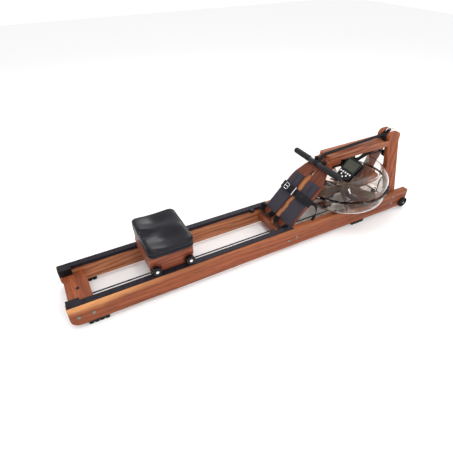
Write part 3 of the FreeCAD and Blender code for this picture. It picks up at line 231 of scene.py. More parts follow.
streaks = noise(grain, stretched(grain, shifted, (1.6, 70.0, 70.0)), 1.0, 3.0, 0.55)
print("grain patterns: slow bends, rings, streaks and pores")

# %% Grain colours
ring_share = step_between(grain, rings.outputs["Fac"], 0.15, 0.85)
streak_share = step_between(grain, streaks.outputs["Fac"], 0.32, 0.68)
slow_share = step_between(grain, slow.outputs["Fac"], 0.35, 0.65)
figure = calc(grain, "ADD", product(grain, ring_share, 0.34),
              calc(grain, "ADD", product(grain, streak_share, 0.36), product(grain, slow_share, 0.30)))
heart = mix_colour(grain, figure, enter.outputs["Dark"], enter.outputs["Light"])
sappy = mix_colour(grain, enter.outputs["Sap"], heart, enter.outputs["Sapwood"])
pore_share = step_between(grain, pores.outputs["Fac"], 0.36, 0.5, 0.62, 1.0)
pore_grey = add(grain, "CombineColor", None, {part: pore_share for part in ("Red", "Green", "Blue")})
pored = mix_colour(grain, 1.0, sappy, pore_grey.outputs[0], "MULTIPLY")
fill(grain, leave.inputs["Color"], pored)
fill(grain, leave.inputs["Roughness"], step_between(grain, figure, 0.0, 1.0, 0.50, 0.36))
fill(grain, leave.inputs["Height"], calc(grain, "ADD", product(grain, pores.outputs["Fac"], 0.7),
                                         product(grain, ring_share, 0.3)))
print("grain group:", len(grain.nodes), "nodes")

# %% [markdown]
# ## Handling marks
# Nothing that is used stays even: fingers leave some patches smoother, and dust settles as a faint paler
# film on what faces up. Painted masks would have to be redone for each piece, so one group works both out
# from place and slope, and each material decides how strongly it shows them.


# %% Handling group
marks, enter, leave = group_tree(
    "handling_marks",
    [("Vector", "Vector", None), ("Scale", "Float", 30.0), ("Low", "Float", 0.3), ("High", "Float", 0.5)],
    [("Roughness", "Float"), ("Dust", "Float"), ("Patch", "Float")])
smear = noise(marks, enter.outputs["Vector"], enter.outputs["Scale"], 5.0, 0.6)
patch = step_between(marks, smear.outputs["Fac"], 0.35, 0.65)
fill(marks, leave.inputs["Roughness"], step_between(marks, patch, 0.0, 1.0, enter.outputs["Low"],
                                                    enter.outputs["High"]))
facing = add(marks, "SeparateXYZ", None, {0: add(marks, "NewGeometry").outputs["Normal"]})
settled = step_between(marks, facing.outputs["Z"], 0.6, 1.0)
fill(marks, leave.inputs["Dust"], product(marks, settled, patch))
fill(marks, leave.inputs["Patch"], patch)
print("handling group:", len(marks.nodes), "nodes")

# %% [markdown]
# ## Webbing weave
# Webbing is a flat weave: warp threads along its length, crossed by short picks, which read as a fine
# slanted pattern. Modelled threads would cost thousands of faces for something a millimetre wide. Two wave
# textures, one slanted and one straight, give the height of the threads and a mask of the gaps between
# them, which paints shade into the gaps.


# %% Weave group
weave, enter, leave = group_tree(
    "webbing_weave",
    [("Vector", "Vector", None), ("Along", "Float", 300.0), ("Across", "Float", 420.0)],
    [("Height", "Float"), ("Gap Shade", "Float")])
slanted_waves = add(weave, "TexWave", {"bands_direction": "DIAGONAL"},
                    {"Vector": enter.outputs["Vector"], "Scale": enter.outputs["Along"]})
straight_waves = add(weave, "TexWave", {"bands_direction": "Y"},
                     {"Vector": enter.outputs["Vector"], "Scale": enter.outputs["Across"]})
threads = product(weave, slanted_waves.outputs["Fac"], straight_waves.outputs["Fac"])
fill(weave, leave.inputs["Height"], threads)
# The gap mask is painted shade: it is 1 in the low valleys between threads, where shade falls.
fill(weave, leave.inputs["Gap Shade"], step_between(weave, threads, 0.0, 0.3, 1.0, 0.0))
print("weave group:", len(weave.nodes), "nodes")

# %% [markdown]
# ## Wood finishes
# The boards are oiled walnut: red-brown heartwood, darker streaks, and on the rails a band of pale orange
# sapwood along the rounded top edge. One wood for all boards would run across some of them, so each board
# has its own grain direction, seed and tones. A Bevel node rounds the light on sharp edges: bevelling the
# mesh would do the same, but the boards keep their CAD shape.


# %% Wood material
DARK_WALNUT = (0.135, 0.032, 0.013, 1)
RED_WALNUT = (0.30, 0.080, 0.030, 1)
PALE_WALNUT = (0.56, 0.215, 0.095, 1)
SAPWOOD = (0.62, 0.275, 0.100, 1)
DECK_WALNUT = (0.42, 0.150, 0.075, 1)
POST_WALNUT = (0.33, 0.092, 0.035, 1)
PANEL_WALNUT = (0.30, 0.085, 0.045, 1)
BOARD_DARK, BOARD_LIGHT = (0.085, 0.021, 0.010, 1), (0.165, 0.043, 0.020, 1)


def wood(name, turn, seed, dark=DARK_WALNUT, light=RED_WALNUT, rings=15.0, sap=None, edge=0.0015):
    """turn rotates the board's length onto the grain's own X. sap(tree, place) gives a sapwood mask."""
    material, tree, surface = new_material(name)
    place = add(tree, "TexCoord").outputs["Object"]
    turned = add(tree, "Mapping", None, {"Vector": place, "Rotation": turn}).outputs[0]
    board = place_group(tree, grain, {"Vector": turned, "Seed": seed, "Rings": rings, "Dark": dark,
                                      "Light": light, "Sapwood": SAPWOOD,
                                      "Sap": sap(tree, place) if sap else 0.0})
    touch = place_group(tree, marks, {"Vector": place, "Scale": 9.0, "Low": -0.05, "High": 0.07})
    fill(tree, surface.inputs["Base Color"], board.outputs["Color"])
    fill(tree, surface.inputs["Roughness"], calc(tree, "ADD", board.outputs["Roughness"],
                                                 touch.outputs["Roughness"]))
    rounded = add(tree, "Bevel", {"samples": 4}, {"Radius": edge})
    bump = add(tree, "Bump", None, {"Height": board.outputs["Height"], "Strength": 0.25, "Distance": 0.0006,
                                    "Normal": rounded.outputs[0]})
    fill(tree, surface.inputs["Normal"], bump.outputs[0])
    surface.inputs["Specular IOR Level"].default_value = 0.18
    surface.inputs["Coat Weight"].default_value = 0.03
    surface.inputs["Coat Roughness"].default_value = 0.28
    return material


print("wood material ready")


# %% Sapwood
def rail_sap(outward, reach):
    """Sapwood along a rail's top outer edge, strongest at the seat end and faint beyond reach."""
    def mask(tree, place):
        axes = add(tree, "SeparateXYZ", None, {0: place})
        wander = noise(tree, place, 5.0, 3.0).outputs["Fac"]
        height = calc(tree, "ADD", axes.outputs["Z"], product(tree, wander, 0.05))
        top = step_between(tree, height, 0.120, 0.158)
        side = step_between(tree, product(tree, axes.outputs["Y"], float(outward)), 0.120, 0.150)
        length = step_between(tree, axes.outputs["X"], -0.95, reach, 0.90, 0.12)
        return product(tree, product(tree, top, side), length)
    return mask


def strip_sap(tree, place):
    """The pale strip down the middle of the footboard, uneven at its sides and gone above the hand hole."""
    axes = add(tree, "SeparateXYZ", None, {0: place})
    wander = noise(tree, place, 15.0, 2.0).outputs["Fac"]
    shifted_y = calc(tree, "ADD", axes.outputs["Y"], calc(tree, "MULTIPLY_ADD", wander, 0.060, -0.030))
    strip = step_between(tree, calc(tree, "ABSOLUTE", shifted_y), 0.006, 0.013, 0.38, 0.0)
    return product(tree, strip, step_between(tree, axes.outputs["Z"], 0.30, 0.38, 1.0, 0.0))


print("sapwood masks ready")


# %% Boards
def dress(node, material):
    """Puts a material in every slot of a CAD node's object."""
    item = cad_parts[node]
    for slot in item.material_slots:
        slot.material = material
    if not item.material_slots:
        item.data.materials.append(material)


ALONG_X = (0, 0, 0)
ALONG_Y = (0, 0, math.pi / 2)
ALONG_Z = (0, math.pi / 2, 0)
BOARD_ANGLE = math.radians(47)
ALONG_SLOPE = (0, BOARD_ANGLE, 0)
WOODS = {
    "right_rail": (ALONG_X, 3.1, DARK_WALNUT, RED_WALNUT, 13.0, rail_sap(-1, -0.45)),
    "left_rail": (ALONG_X, 7.7, DARK_WALNUT, PALE_WALNUT, 13.0, rail_sap(1, -0.30)),
    "rear_spreader": (ALONG_Y, 1.4, DARK_WALNUT, RED_WALNUT, 15.0, None),
    "mid_spreader": (ALONG_Y, 5.2, DARK_WALNUT, RED_WALNUT, 15.0, None),
    "front_spreader": (ALONG_Y, 9.6, DARK_WALNUT, RED_WALNUT, 15.0, None),
    "footboard": (ALONG_SLOPE, 4.3, BOARD_DARK, BOARD_LIGHT, 17.0, strip_sap),
    "handle_rest": (ALONG_X, 2.2, DARK_WALNUT, RED_WALNUT, 17.0, None),
    "top_deck": (ALONG_X, 6.4, DARK_WALNUT, DECK_WALNUT, 15.0, None),
    "left_post": (ALONG_Z, 8.5, DARK_WALNUT, POST_WALNUT, 14.0, None),
    "right_post": (ALONG_Z, 12.3, DARK_WALNUT, POST_WALNUT, 14.0, None),
    "seat_panels": (ALONG_X, 10.9, DARK_WALNUT, PANEL_WALNUT, 22.0, None),
    "seat_base": (ALONG_X, 11.8, DARK_WALNUT, RED_WALNUT, 20.0, None),
}
for node, (turn, seed, dark, light, rings_count, sap) in WOODS.items():
    dress(node, wood("walnut_" + node, turn, seed, dark, light, rings_count, sap))
print("wood boards dressed:", len(WOODS))

# %% [markdown]
# ## Plastics, rubber, metal and webbing
# The small pieces share a few finishes. Each could be a plain colour, but a real moulding is never one
# flat value, so one function builds plastics, rubbers and metals from a colour, a roughness range and a
# fine grain. Webbing has a function of its own, because its relief comes from the weave.


# %% Moulded material
def moulded(name, colour, low, high, grain_scale=900.0, bump=0.12, edge=0.0008, dust=0.06, metal=0.0,
            specular=0.5, coat=0.0):
    material, tree, surface = new_material(name)
    place = add(tree, "TexCoord").outputs["Object"]
    touch = place_group(tree, marks, {"Vector": place, "Scale": 22.0, "Low": low, "High": high})
    paler = tuple(min(1.0, c * 1.4 + 0.004) for c in colour[:3]) + (1,)
    shade = mix_colour(tree, product(tree, touch.outputs["Patch"], 0.35), colour, paler)
    film = mix_colour(tree, product(tree, touch.outputs["Dust"], dust), shade, (0.55, 0.53, 0.5, 1))
    fill(tree, surface.inputs["Base Color"], film)
    fill(tree, surface.inputs["Roughness"], touch.outputs["Roughness"])
    pebbles = add(tree, "TexVoronoi", None, {"Vector": place, "Scale": grain_scale})
    rounded = add(tree, "Bevel", {"samples": 4}, {"Radius": edge})
    relief = add(tree, "Bump", None, {"Height": pebbles.outputs["Distance"], "Strength": bump,
                                      "Distance": 0.0003, "Normal": rounded.outputs[0]})
    fill(tree, surface.inputs["Normal"], relief.outputs[0])
    surface.inputs["Metallic"].default_value = metal
    surface.inputs["Specular IOR Level"].default_value = specular
    surface.inputs["Coat Weight"].default_value = coat
    surface.inputs["Coat Roughness"].default_value = 0.12
    return material


print("moulded finish ready")


# %% Webbing material
def webbing(name, colour, along, across, turn=ALONG_X):
    material, tree, surface = new_material(name)
    place = add(tree, "TexCoord").outputs["Object"]
    turned = add(tree, "Mapping", None, {"Vector": place, "Rotation": turn}).outputs[0]
    cloth = place_group(tree, weave, {"Vector": turned, "Along": along, "Across": across})
    paler = tuple(c * 1.8 + 0.006 for c in colour[:3]) + (1,)
    # Painted shade: the gaps between threads take the dark colour, and the thread tops take the paler one.
    fill(tree, surface.inputs["Base Color"], mix_colour(tree, cloth.outputs["Gap Shade"], paler, colour))
    touch = place_group(tree, marks, {"Vector": place, "Scale": 40.0, "Low": 0.62, "High": 0.85})
    fill(tree, surface.inputs["Roughness"], touch.outputs["Roughness"])
    relief = add(tree, "Bump", None, {"Height": cloth.outputs["Height"], "Strength": 0.6, "Distance": 0.0008})
    fill(tree, surface.inputs["Normal"], relief.outputs[0])
    surface.inputs["Specular IOR Level"].default_value = 0.1
    return material


print("webbing finish ready")

# %% Finishes of the small pieces
charcoal = moulded("track_charcoal", (0.010, 0.008, 0.013, 1), 0.42, 0.55, dust=0.01, specular=0.12)
black_satin = moulded("black_satin", (0.005, 0.005, 0.006, 1), 0.32, 0.44, dust=0.01, specular=0.15)
black_gloss = moulded("black_gloss", (0.004, 0.004, 0.005, 1), 0.14, 0.22, bump=0.03, dust=0.0, specular=0.22)
rubber = moulded("soft_rubber", (0.008, 0.008, 0.009, 1), 0.55, 0.7, bump=0.25, dust=0.01, specular=0.12)
grip_foam = moulded("grip_rubber", (0.011, 0.010, 0.012, 1), 0.50, 0.62, grain_scale=650.0, bump=0.35,
                    dust=0.01, specular=0.14)
sleeve_finish = moulded("sleeve_plastic", (0.014, 0.013, 0.016, 1), 0.32, 0.42, dust=0.01, specular=0.18)
bright_metal = moulded("bright_metal", (0.72, 0.72, 0.74, 1), 0.10, 0.24, bump=0.02, metal=1.0, dust=0.02)
bolt_metal = moulded("bolt_metal", (0.18, 0.20, 0.18, 1), 0.32, 0.5, bump=0.05, metal=0.85)
bare_aluminium = moulded("bare_aluminium", (0.60, 0.60, 0.61, 1), 0.25, 0.4, bump=0.05, metal=1.0)
white_button = moulded("white_button", (0.80, 0.80, 0.77, 1), 0.25, 0.38, bump=0.03, dust=0.02)
toe_webbing = webbing("toe_webbing", (0.006, 0.006, 0.007, 1), 260.0, 420.0, ALONG_Y)
drive_webbing = webbing("drive_webbing", (0.006, 0.006, 0.007, 1), 130.0, 300.0)
cord_sleeve = webbing("cord_sleeve", (0.010, 0.010, 0.011, 1), 500.0, 700.0)
PLAIN = {
    charcoal: ("left_track", "right_track"),
    black_satin: ("track_stops", "cord_anchors", "monitor_arm", "shaft_bearings", "drive_drum", "fill_plug",
                  "recoil_pulley_low", "recoil_pulley_high", "top_pulley", "pulley_bracket"),
    black_gloss: ("monitor_front", "monitor_back", "seat_wheel_front_left", "seat_wheel_front_right",
                  "seat_wheel_rear_left", "seat_wheel_rear_right"),
    rubber: ("tank_pads", "left_roller", "right_roller"),
    bright_metal: ("seat_axle_bolts",),
    bolt_metal: ("fasteners",),
    bare_aluminium: ("handle_bar",),
    cord_sleeve: ("bungee_cord",),
}
for material, nodes in PLAIN.items():
    for node in nodes:
        dress(node, material)
print("plain finishes on", sum(len(nodes) for nodes in PLAIN.values()), "nodes")

# %% [markdown]
# ## Shell of the foot plates
# One moulding carries the grey foot plate and the black heel cup. Rather than split the solid, the
# material chooses its colour by where it is: the place is turned into the footboard's own frame, and
# whatever lies low on the slope and stands off the board is the black cup.

# %% The footboard's own frame
SLOPE = Vector((math.cos(BOARD_ANGLE), 0, math.sin(BOARD_ANGLE)))
BOARD_OUT = Vector((-math.sin(BOARD_ANGLE), 0, math.cos(BOARD_ANGLE)))
BOARD_ORIGIN = Vector((0.118, 0, 0.0945))


def on_board(along, across, out):
    return BOARD_ORIGIN + SLOPE * along + ACROSS * across + BOARD_OUT * out


print("footboard starts at", tuple(BOARD_ORIGIN))


# %% Foot plate material
def foot_plate_material():
    material, tree, surface = new_material("foot_plate_plastic")
    place = add(tree, "TexCoord").outputs["Object"]
    moved = add(tree, "VectorMath", {"operation": "SUBTRACT"}, {0: place, 1: tuple(BOARD_ORIGIN)}).outputs[0]
    up_slope, off_board = (add(tree, "VectorMath", {"operation": "DOT_PRODUCT"},
                               {0: moved, 1: tuple(axis)}).outputs["Value"] for axis in (SLOPE, BOARD_OUT))
    cup = product(tree, step_between(tree, up_slope, 0.0500, 0.0515, 1.0, 0.0),
                  step_between(tree, off_board, 0.0050, 0.0056))
    touch = place_group(tree, marks, {"Vector": place, "Scale": 16.0, "Low": 0.50, "High": 0.68})
    slate = mix_colour(tree, touch.outputs["Patch"], (0.018, 0.014, 0.023, 1), (0.026, 0.021, 0.032, 1))
    fill(tree, surface.inputs["Base Color"], mix_colour(tree, cup, slate, (0.006, 0.006, 0.007, 1)))
    fill(tree, surface.inputs["Roughness"], touch.outputs["Roughness"])
    stipple = add(tree, "TexVoronoi", None, {"Vector": place, "Scale": 520.0})
    rounded = add(tree, "Bevel", {"samples": 4}, {"Radius": 0.001})
    relief = add(tree, "Bump", None, {"Height": stipple.outputs["Distance"], "Strength": 0.3,
                                      "Distance": 0.0004, "Normal": rounded.outputs[0]})
    fill(tree, surface.inputs["Normal"], relief.outputs[0])
    surface.inputs["Specular IOR Level"].default_value = 0.3
    return material


foot_plastic = foot_plate_material()
for node in ("left_footrest", "right_footrest"):
    dress(node, foot_plastic)
print("foot plates dressed")


# %% [markdown]
# ## Seat skin, display and clear tank
# The seat pad is moulded foam with a smooth dark skin: a faint leather grain under a thin clear coat. The
# display is a flat olive film behind a clear window, so it is a dark colour under a polished coat. The
# tank is clear plastic, which could be thin faces with some alpha, but real walls with full transmission
# catch light at their edges. Its index, 1.30, is under that of real plastic, so that what stands behind
# stays in its place. The seal between the shells gets the same finish, as a clear gasket.


# %% Seat skin
def skin_material():
    material, tree, surface = new_material("pad_skin")
    place = add(tree, "TexCoord").outputs["Object"]
    touch = place_group(tree, marks, {"Vector": place, "Scale": 14.0, "Low": 0.30, "High": 0.36})
    fill(tree, surface.inputs["Base Color"],
         mix_colour(tree, touch.outputs["Patch"], (0.0040, 0.0035, 0.0065, 1), (0.0060, 0.0055, 0.0095, 1)))
    fill(tree, surface.inputs["Roughness"], touch.outputs["Roughness"])
    cells = add(tree, "TexVoronoi", None, {"Vector": place, "Scale": 380.0})
    relief = add(tree, "Bump", None, {"Height": cells.outputs["Distance"], "Strength": 0.10,
                                      "Distance": 0.0004})
    fill(tree, surface.inputs["Normal"], relief.outputs[0])
    surface.inputs["Specular IOR Level"].default_value = 0.16
    surface.inputs["Coat Weight"].default_value = 0.05
    surface.inputs["Coat Roughness"].default_value = 0.08
    return material


pad_skin = skin_material()
print("pad skin ready")


# %% Display
def display_material():
    material, tree, surface = new_material("display_film")
    place = add(tree, "TexCoord").outputs["Object"]
    touch = place_group(tree, marks, {"Vector": place, "Scale": 30.0, "Low": 0.10, "High": 0.20})
    fill(tree, surface.inputs["Base Color"],
         mix_colour(tree, touch.outputs["Patch"], (0.016, 0.019, 0.007, 1), (0.026, 0.029, 0.012, 1)))
    fill(tree, surface.inputs["Roughness"], touch.outputs["Roughness"])
    surface.inputs["Coat Weight"].default_value = 0.25
    surface.inputs["Coat Roughness"].default_value = 0.05
    return material


display_film = display_material()
dress("monitor_screen", display_film)
print("display ready")


# %% Clear tank, water and paddle
def clear_material(name, tint, deeper, index, low, high):
    material, tree, surface = new_material(name)
    place = add(tree, "TexCoord").outputs["Object"]
    touch = place_group(tree, marks, {"Vector": place, "Scale": 7.0, "Low": low, "High": high})
    fill(tree, surface.inputs["Base Color"], mix_colour(tree, touch.outputs["Patch"], tint, deeper))
    fill(tree, surface.inputs["Roughness"], touch.outputs["Roughness"])
    surface.inputs["Transmission Weight"].default_value = 1.0
    surface.inputs["IOR"].default_value = index
    return material


PLASTIC_INDEX, WATER_INDEX = 1.30, 1.06
tank_clear = clear_material("tank_clear", (0.985, 0.960, 0.940, 1), (0.965, 0.935, 0.905, 1), PLASTIC_INDEX,
                            0.0, 0.02)
water_clear = clear_material("water_clear", (0.975, 0.945, 0.92, 1), (0.955, 0.925, 0.89, 1), WATER_INDEX,
                             0.0, 0.01)
dress("paddle", moulded("paddle_plastic", (0.15, 0.092, 0.062, 1), 0.3, 0.45, specular=0.3))
dress("tank_seal", tank_clear)
print("clear finishes ready")


# %% [markdown]
# ## Mesh tools
# Two moves cover almost every remade piece. A lathe turns a profile about an axis: knobs, grips, tank. A
# sweep lays a section along a smooth path: a flat band for straps, a circle for bent wire. Screw modifiers
# and bevelled curves could do both, but plain meshes show every point and export as they are. Corners of
# profiles are rounded by replacing each with a short curve, as a moulding tool would.


# %% Pieces
def mesh_piece(name, corners, faces, material, sharp=35):
    mesh = bpy.data.meshes.new(name)
    mesh.from_pydata([tuple(c) for c in corners], [], faces)
    edit = bmesh.new()
    edit.from_mesh(mesh)
    bmesh.ops.remove_doubles(edit, verts=edit.verts, dist=1e-6)
    bmesh.ops.recalc_face_normals(edit, faces=edit.faces)
    edit.to_mesh(mesh)
    edit.free()
    mesh.shade_smooth()
    mesh.set_sharp_from_angle(angle=math.radians(sharp))
    mesh.materials.append(material)
    piece = bpy.data.objects.new(name, mesh)
    bpy.context.scene.collection.objects.link(piece)
    return piece


def settle(piece, body, slot, *nodes):
    """Rides a piece on its body and hides the CAD nodes that it stands for. Its slot is not used."""
    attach(piece, body)
    if nodes:
        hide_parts(*nodes)
    return piece


print("pieces: one mesh each, settled on a body")


# %% Turned pieces
def rounded_profile(corners, radius, steps=5, closed=False):
    """A 2-D outline with every inner corner cut by a small arc-like curve of the given radius."""
    count = len(corners)
    out = []
    for i, corner in enumerate(corners):
        here = Vector(corner)
        if not closed and i in (0, count - 1):
            out.append(here)
            continue
        back, ahead = Vector(corners[i - 1]) - here, Vector(corners[(i + 1) % count]) - here
        reach = min(radius, back.length * 0.45, ahead.length * 0.45)
        first, last = here + back.normalized() * reach, here + ahead.normalized() * reach
        for k in range(steps + 1):
            t = k / steps
            out.append(first * (1 - t) ** 2 + here * 2 * t * (1 - t) + last * t * t)
    return out


def lathe(name, profile, centre, axis, material, steps=96, closed=False, sharp=35):
    """Turns (radius, height) points about an axis through centre."""
    turn = UP.rotation_difference(Vector(axis)).to_matrix()
    corners, faces = [], []
    rows = len(profile)
    for k in range(steps):
        angle = 2 * math.pi * k / steps
        for radius, height in profile:
            corners.append(Vector(centre) + turn @ Vector((radius * math.cos(angle), radius * math.sin(angle),
                                                           height)))
    spans = rows if closed else rows - 1
    for k in range(steps):
        for i in range(spans):
            j = (i + 1) % rows
            ring, following = k * rows, ((k + 1) % steps) * rows
            faces.append((ring + i, following + i, following + j, ring + j))
    return mesh_piece(name, corners, faces, material, sharp)


print("lathe ready")


# %% Swept pieces
def smooth_path(points, steps=8):
    """Points of a Catmull-Rom curve through the given points."""
    points = [Vector(p) for p in points]
    padded = [2 * points[0] - points[1]] + points + [2 * points[-1] - points[-2]]
    out = []
    for a, b, c, d in zip(padded, padded[1:], padded[2:], padded[3:]):
        for k in range(steps):
            t = k / steps
            out.append(0.5 * (2 * b + (c - a) * t + (2 * a - 5 * b + 4 * c - d) * t * t
                              + (3 * b - a - 3 * c + d) * t ** 3))
    return out + [points[-1]]


def sweep(name, path, section, sides, material, sharp=35, closed=False):
    """Lays a 2-D section along a path. sides gives the section's own X at each point of the path."""
    corners, faces = [], []
    count, rim = len(path), len(section)
    for i, place in enumerate(path):
        before = path[i - 1] if i or closed else path[0]
        after = path[(i + 1) % count] if i < count - 1 or closed else path[-1]
        ahead = (after - before).normalized()
        side = sides[i] if isinstance(sides, list) else sides
        across = (side - ahead * side.dot(ahead)).normalized()
        lift = ahead.cross(across).normalized()
        corners += [place + across * x + lift * y for x, y in section]
    for i in range(count if closed else count - 1):
        for j in range(rim):
            a, b = i * rim + j, i * rim + (j + 1) % rim
            c, d = ((i + 1) % count) * rim + (j + 1) % rim, ((i + 1) % count) * rim + j
            faces.append((a, b, c, d))
    if not closed:
        faces += [tuple(range(rim)), tuple(range((count - 1) * rim, count * rim))]
    return mesh_piece(name, corners, faces, material, sharp)


def path_length(path):
    return round(sum((b - a).length for a, b in zip(path, path[1:])), 3)


print("sweep ready")


# %% Sections
def band_section(width, thick, steps=3):
    """A flat band with rounded edges."""
    half, r = width / 2, thick / 2
    out = []
    for sign, start in ((1, -90), (-1, 90)):
        for k in range(steps + 1):
            angle = math.radians(start + 180 * k / steps)
            out.append((sign * (half - r) + r * math.cos(angle), r * math.sin(angle)))
    return out


def round_section(radius, steps=12):
    return [(radius * math.cos(2 * math.pi * k / steps), radius * math.sin(2 * math.pi * k / steps))
            for k in range(steps)]


def rectangle(half_x, half_y):
    return [(-half_x, -half_y), (half_x, -half_y), (half_x, half_y), (-half_x, half_y)]


print("sections ready")


# %% [markdown]
# ## Seat pad
# The pad is one moulding of firm foam with a smooth skin. Its top has two shallow dishes, a groove for the
# spine that runs in from the back edge, and front and back edges that rise a little. Rings of points are
# wrapped over a rounded block, and a height formula shapes the top, because a moulded form has no sewn
# seams or slack that a cloth simulation would add.


# %% Pad height
def bell(distance, width):
    return math.exp(-(distance / width) ** 2)


def pad_height(u, v):
    """How far the top stands above its flat level. u runs from back -1 to front 1, v from right to left."""
    dishes = -0.013 * bell(u + 0.05, 0.60) * bell(abs(v) - 0.50, 0.36)
    spine = -0.019 * bell(v, 0.17) * bell(u + 1.05, 0.95)
    ridge = 0.004 * bell(v, 0.24) * bell(u - 0.45, 0.5)
    saddle = 0.005 * (u * u - 0.4) - 0.005 * bell(abs(v) - 1.0, 0.22) * bell(u + 0.1, 0.55)
    front = -0.002 * bell(u - 1.0, 0.25)
    return dishes + spine + ridge + saddle + front


print("spine groove", round(pad_height(-1, 0) - pad_height(-1, 0.5), 4))

# %% Pad outline
PAD_HALF_X, PAD_HALF_Y, PAD_CORNER, PAD_LIP = 0.113, 0.143, 0.030, 0.016
PAD_AROUND, LIP_STEPS, TOP_STEPS = 96, 6, 14


def pad_outline(angle, inset):
    """A point of the rounded rectangle, pulled in by inset."""
    half_x, half_y = PAD_HALF_X - inset, PAD_HALF_Y - inset
    r = max(PAD_CORNER - inset, 0.004)
    x, y = math.cos(angle), math.sin(angle)
    reach = min(half_x / max(abs(x), 1e-9), half_y / max(abs(y), 1e-9))
    px, py = x * reach, y * reach
    if abs(px) > half_x - r and abs(py) > half_y - r:
        cx, cy = math.copysign(half_x - r, px), math.copysign(half_y - r, py)
        away = Vector((px - cx, py - cy))
        px, py = cx + away.x / away.length * r, cy + away.y / away.length * r
    return px, py


def pad_ring(inset, z, share):
    """One ring of points at height z. share says how much of the height formula it takes."""
    return [(pad_outline(2 * math.pi * k / PAD_AROUND, inset), z, share) for k in range(PAD_AROUND)]


print("pad", 2 * PAD_HALF_X, "by", 2 * PAD_HALF_Y)

# %% Pad mesh
SEAM_LEVELS = [(0.010, 0.0), (0.003, 0.001), (0.0005, 0.004), (0.0, 0.010), (0.0008, 0.0165),
               (0.0030, 0.0185), (0.0030, 0.0195), (0.0008, 0.0215), (0.0, 0.028), (0.0004, 0.034)]
TOP_MARGIN, TOP_SINK = 0.002, 0.004


def seat_pad():
    """Rings climb the side past a moulded seam, turn over the lip and close in on the middle of the top."""
    low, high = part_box("seat_pad")
    middle = (Vector(low) + Vector(high)) / 2
    top, floor_z = high[2] - TOP_MARGIN, low[2]
    rings = [pad_ring(inset, floor_z + height, 0.0) for inset, height in SEAM_LEVELS]
    for k in range(1, LIP_STEPS + 1):
        angle = math.pi / 2 * k / LIP_STEPS
        inset, drop = PAD_LIP * (1 - math.cos(angle)), PAD_LIP * (1 - math.sin(angle))
        rings.append(pad_ring(inset, top - drop, math.sin(angle)))
    for k in range(1, TOP_STEPS + 1):
        scale = 1 - 0.999 * (k / TOP_STEPS) ** 0.9
        rings.append([((x * scale, y * scale), top, 1.0) for (x, y), _, _ in pad_ring(PAD_LIP, top, 1.0)])
    corners, faces = [], []
    for ring in rings:
        for (x, y), z, share in ring:
            lift = pad_height(x / PAD_HALF_X, y / PAD_HALF_Y) * share
            corners.append((middle.x + x, middle.y + y, z + lift - TOP_SINK * share))
    for i in range(len(rings) - 1):
        for k in range(PAD_AROUND):
            a, b = i * PAD_AROUND + k, i * PAD_AROUND + (k + 1) % PAD_AROUND
            faces.append((a, b, b + PAD_AROUND, a + PAD_AROUND))
    faces.append(tuple(range(PAD_AROUND)))
    faces.append(tuple(range((len(rings) - 1) * PAD_AROUND, len(rings) * PAD_AROUND)))
    pad = mesh_piece("seat_pad_moulding", corners, faces, pad_skin, 60)
    settle(pad, "seat", "pad_vinyl", "seat_pad")
    return pad


pad = seat_pad()
print("seat pad vertices:", len(pad.data.vertices))

# %% [markdown]
# ## Water tank
# The tank is two blown shells that meet at a flange with a seal between them. The CAD profile is a polygon
# of a few corners; the lathe here rounds those corners so the shoulder catches the light in one unbroken
# sweep. A single skin would be lighter, but each shell keeps its real wall, so light bends on its way in and
# again on its way out.

# %% Tank bowl
lower_low, lower_high = (Vector(c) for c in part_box("tank_lower"))
upper_low, upper_high = (Vector(c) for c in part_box("tank_upper"))
TANK_X = (upper_low.x + upper_high.x) / 2
TANK_BASE, SEAM_LOW, SEAM_HIGH, TANK_TOP = lower_low.z, lower_high.z, upper_low.z, upper_high.z
RISE, DEPTH = TANK_TOP - SEAM_HIGH, SEAM_LOW - TANK_BASE
BELLY, WALL, LIP, FLANGE, PORT, BLOWN_ROUND = 0.259, 0.004, 0.268, 0.004, 0.020, 0.030


def offset_inside(profile, wall):
    """The same profile moved inwards by one wall, for the inner skin."""
    out = []
    for i, (radius, height) in enumerate(profile):
        before, after = profile[max(i - 1, 0)], profile[min(i + 1, len(profile) - 1)]
        run = Vector((after[0] - before[0], after[1] - before[1])).normalized()
        out.append(Vector((max(radius - run.y * wall, 0.0), height + run.x * wall)))
    return out


lower_outer = rounded_profile([(0, 0), (BELLY - 0.053, 0), (BELLY - 0.013, 0.022), (BELLY - 0.001, 0.050),
                               (BELLY, DEPTH - FLANGE)], BLOWN_ROUND, 8)
lower_inner = offset_inside(lower_outer, WALL)
lower_inner[0] = Vector((0, WALL))
lower_flange = [Vector((LIP, DEPTH - FLANGE)), Vector((LIP, DEPTH)), Vector((BELLY - WALL, DEPTH))]
lower_shell = lower_outer + lower_flange + list(reversed(lower_inner[:-1]))
tank_lower = lathe("tank_bowl", lower_shell, (TANK_X, 0, TANK_BASE), UP, tank_clear, 128, sharp=50)
settle(tank_lower, "frame", "clear_tank", "tank_lower")
print("bowl depth", round(DEPTH, 4))

# %% Tank dome
upper_outer = rounded_profile([(BELLY, FLANGE), (BELLY - 0.002, RISE * 0.35), (BELLY - 0.009, RISE * 0.57),
                               (BELLY - 0.024, RISE * 0.80), (BELLY - 0.043, RISE), (PORT, RISE)],
                              BLOWN_ROUND, 8)
upper_inner = offset_inside(upper_outer, WALL)
upper_flange = [Vector((BELLY - WALL, 0)), Vector((LIP, 0)), Vector((LIP, FLANGE))]
upper_shell = upper_flange + upper_outer + [Vector((PORT, RISE - WALL))] + list(reversed(upper_inner[1:-1]))
tank_upper = lathe("tank_dome", upper_shell, (TANK_X, 0, SEAM_HIGH), UP, tank_clear, 128, closed=True,
                   sharp=50)
settle(tank_upper, "frame", "clear_tank", "tank_upper")
print("tank radius", LIP, "height", round(TANK_TOP - TANK_BASE, 4))

# %% [markdown]
# ## Water
# The tank is filled to just under the seam. The water could be a flat disc, but the level is seen from the
# side too, so it is a closed body that follows the inner wall and stops a hair short of it. Its index is
# kept near one: real water touches the plastic and hardly bends light there, while this body has a thin
# gap round it.

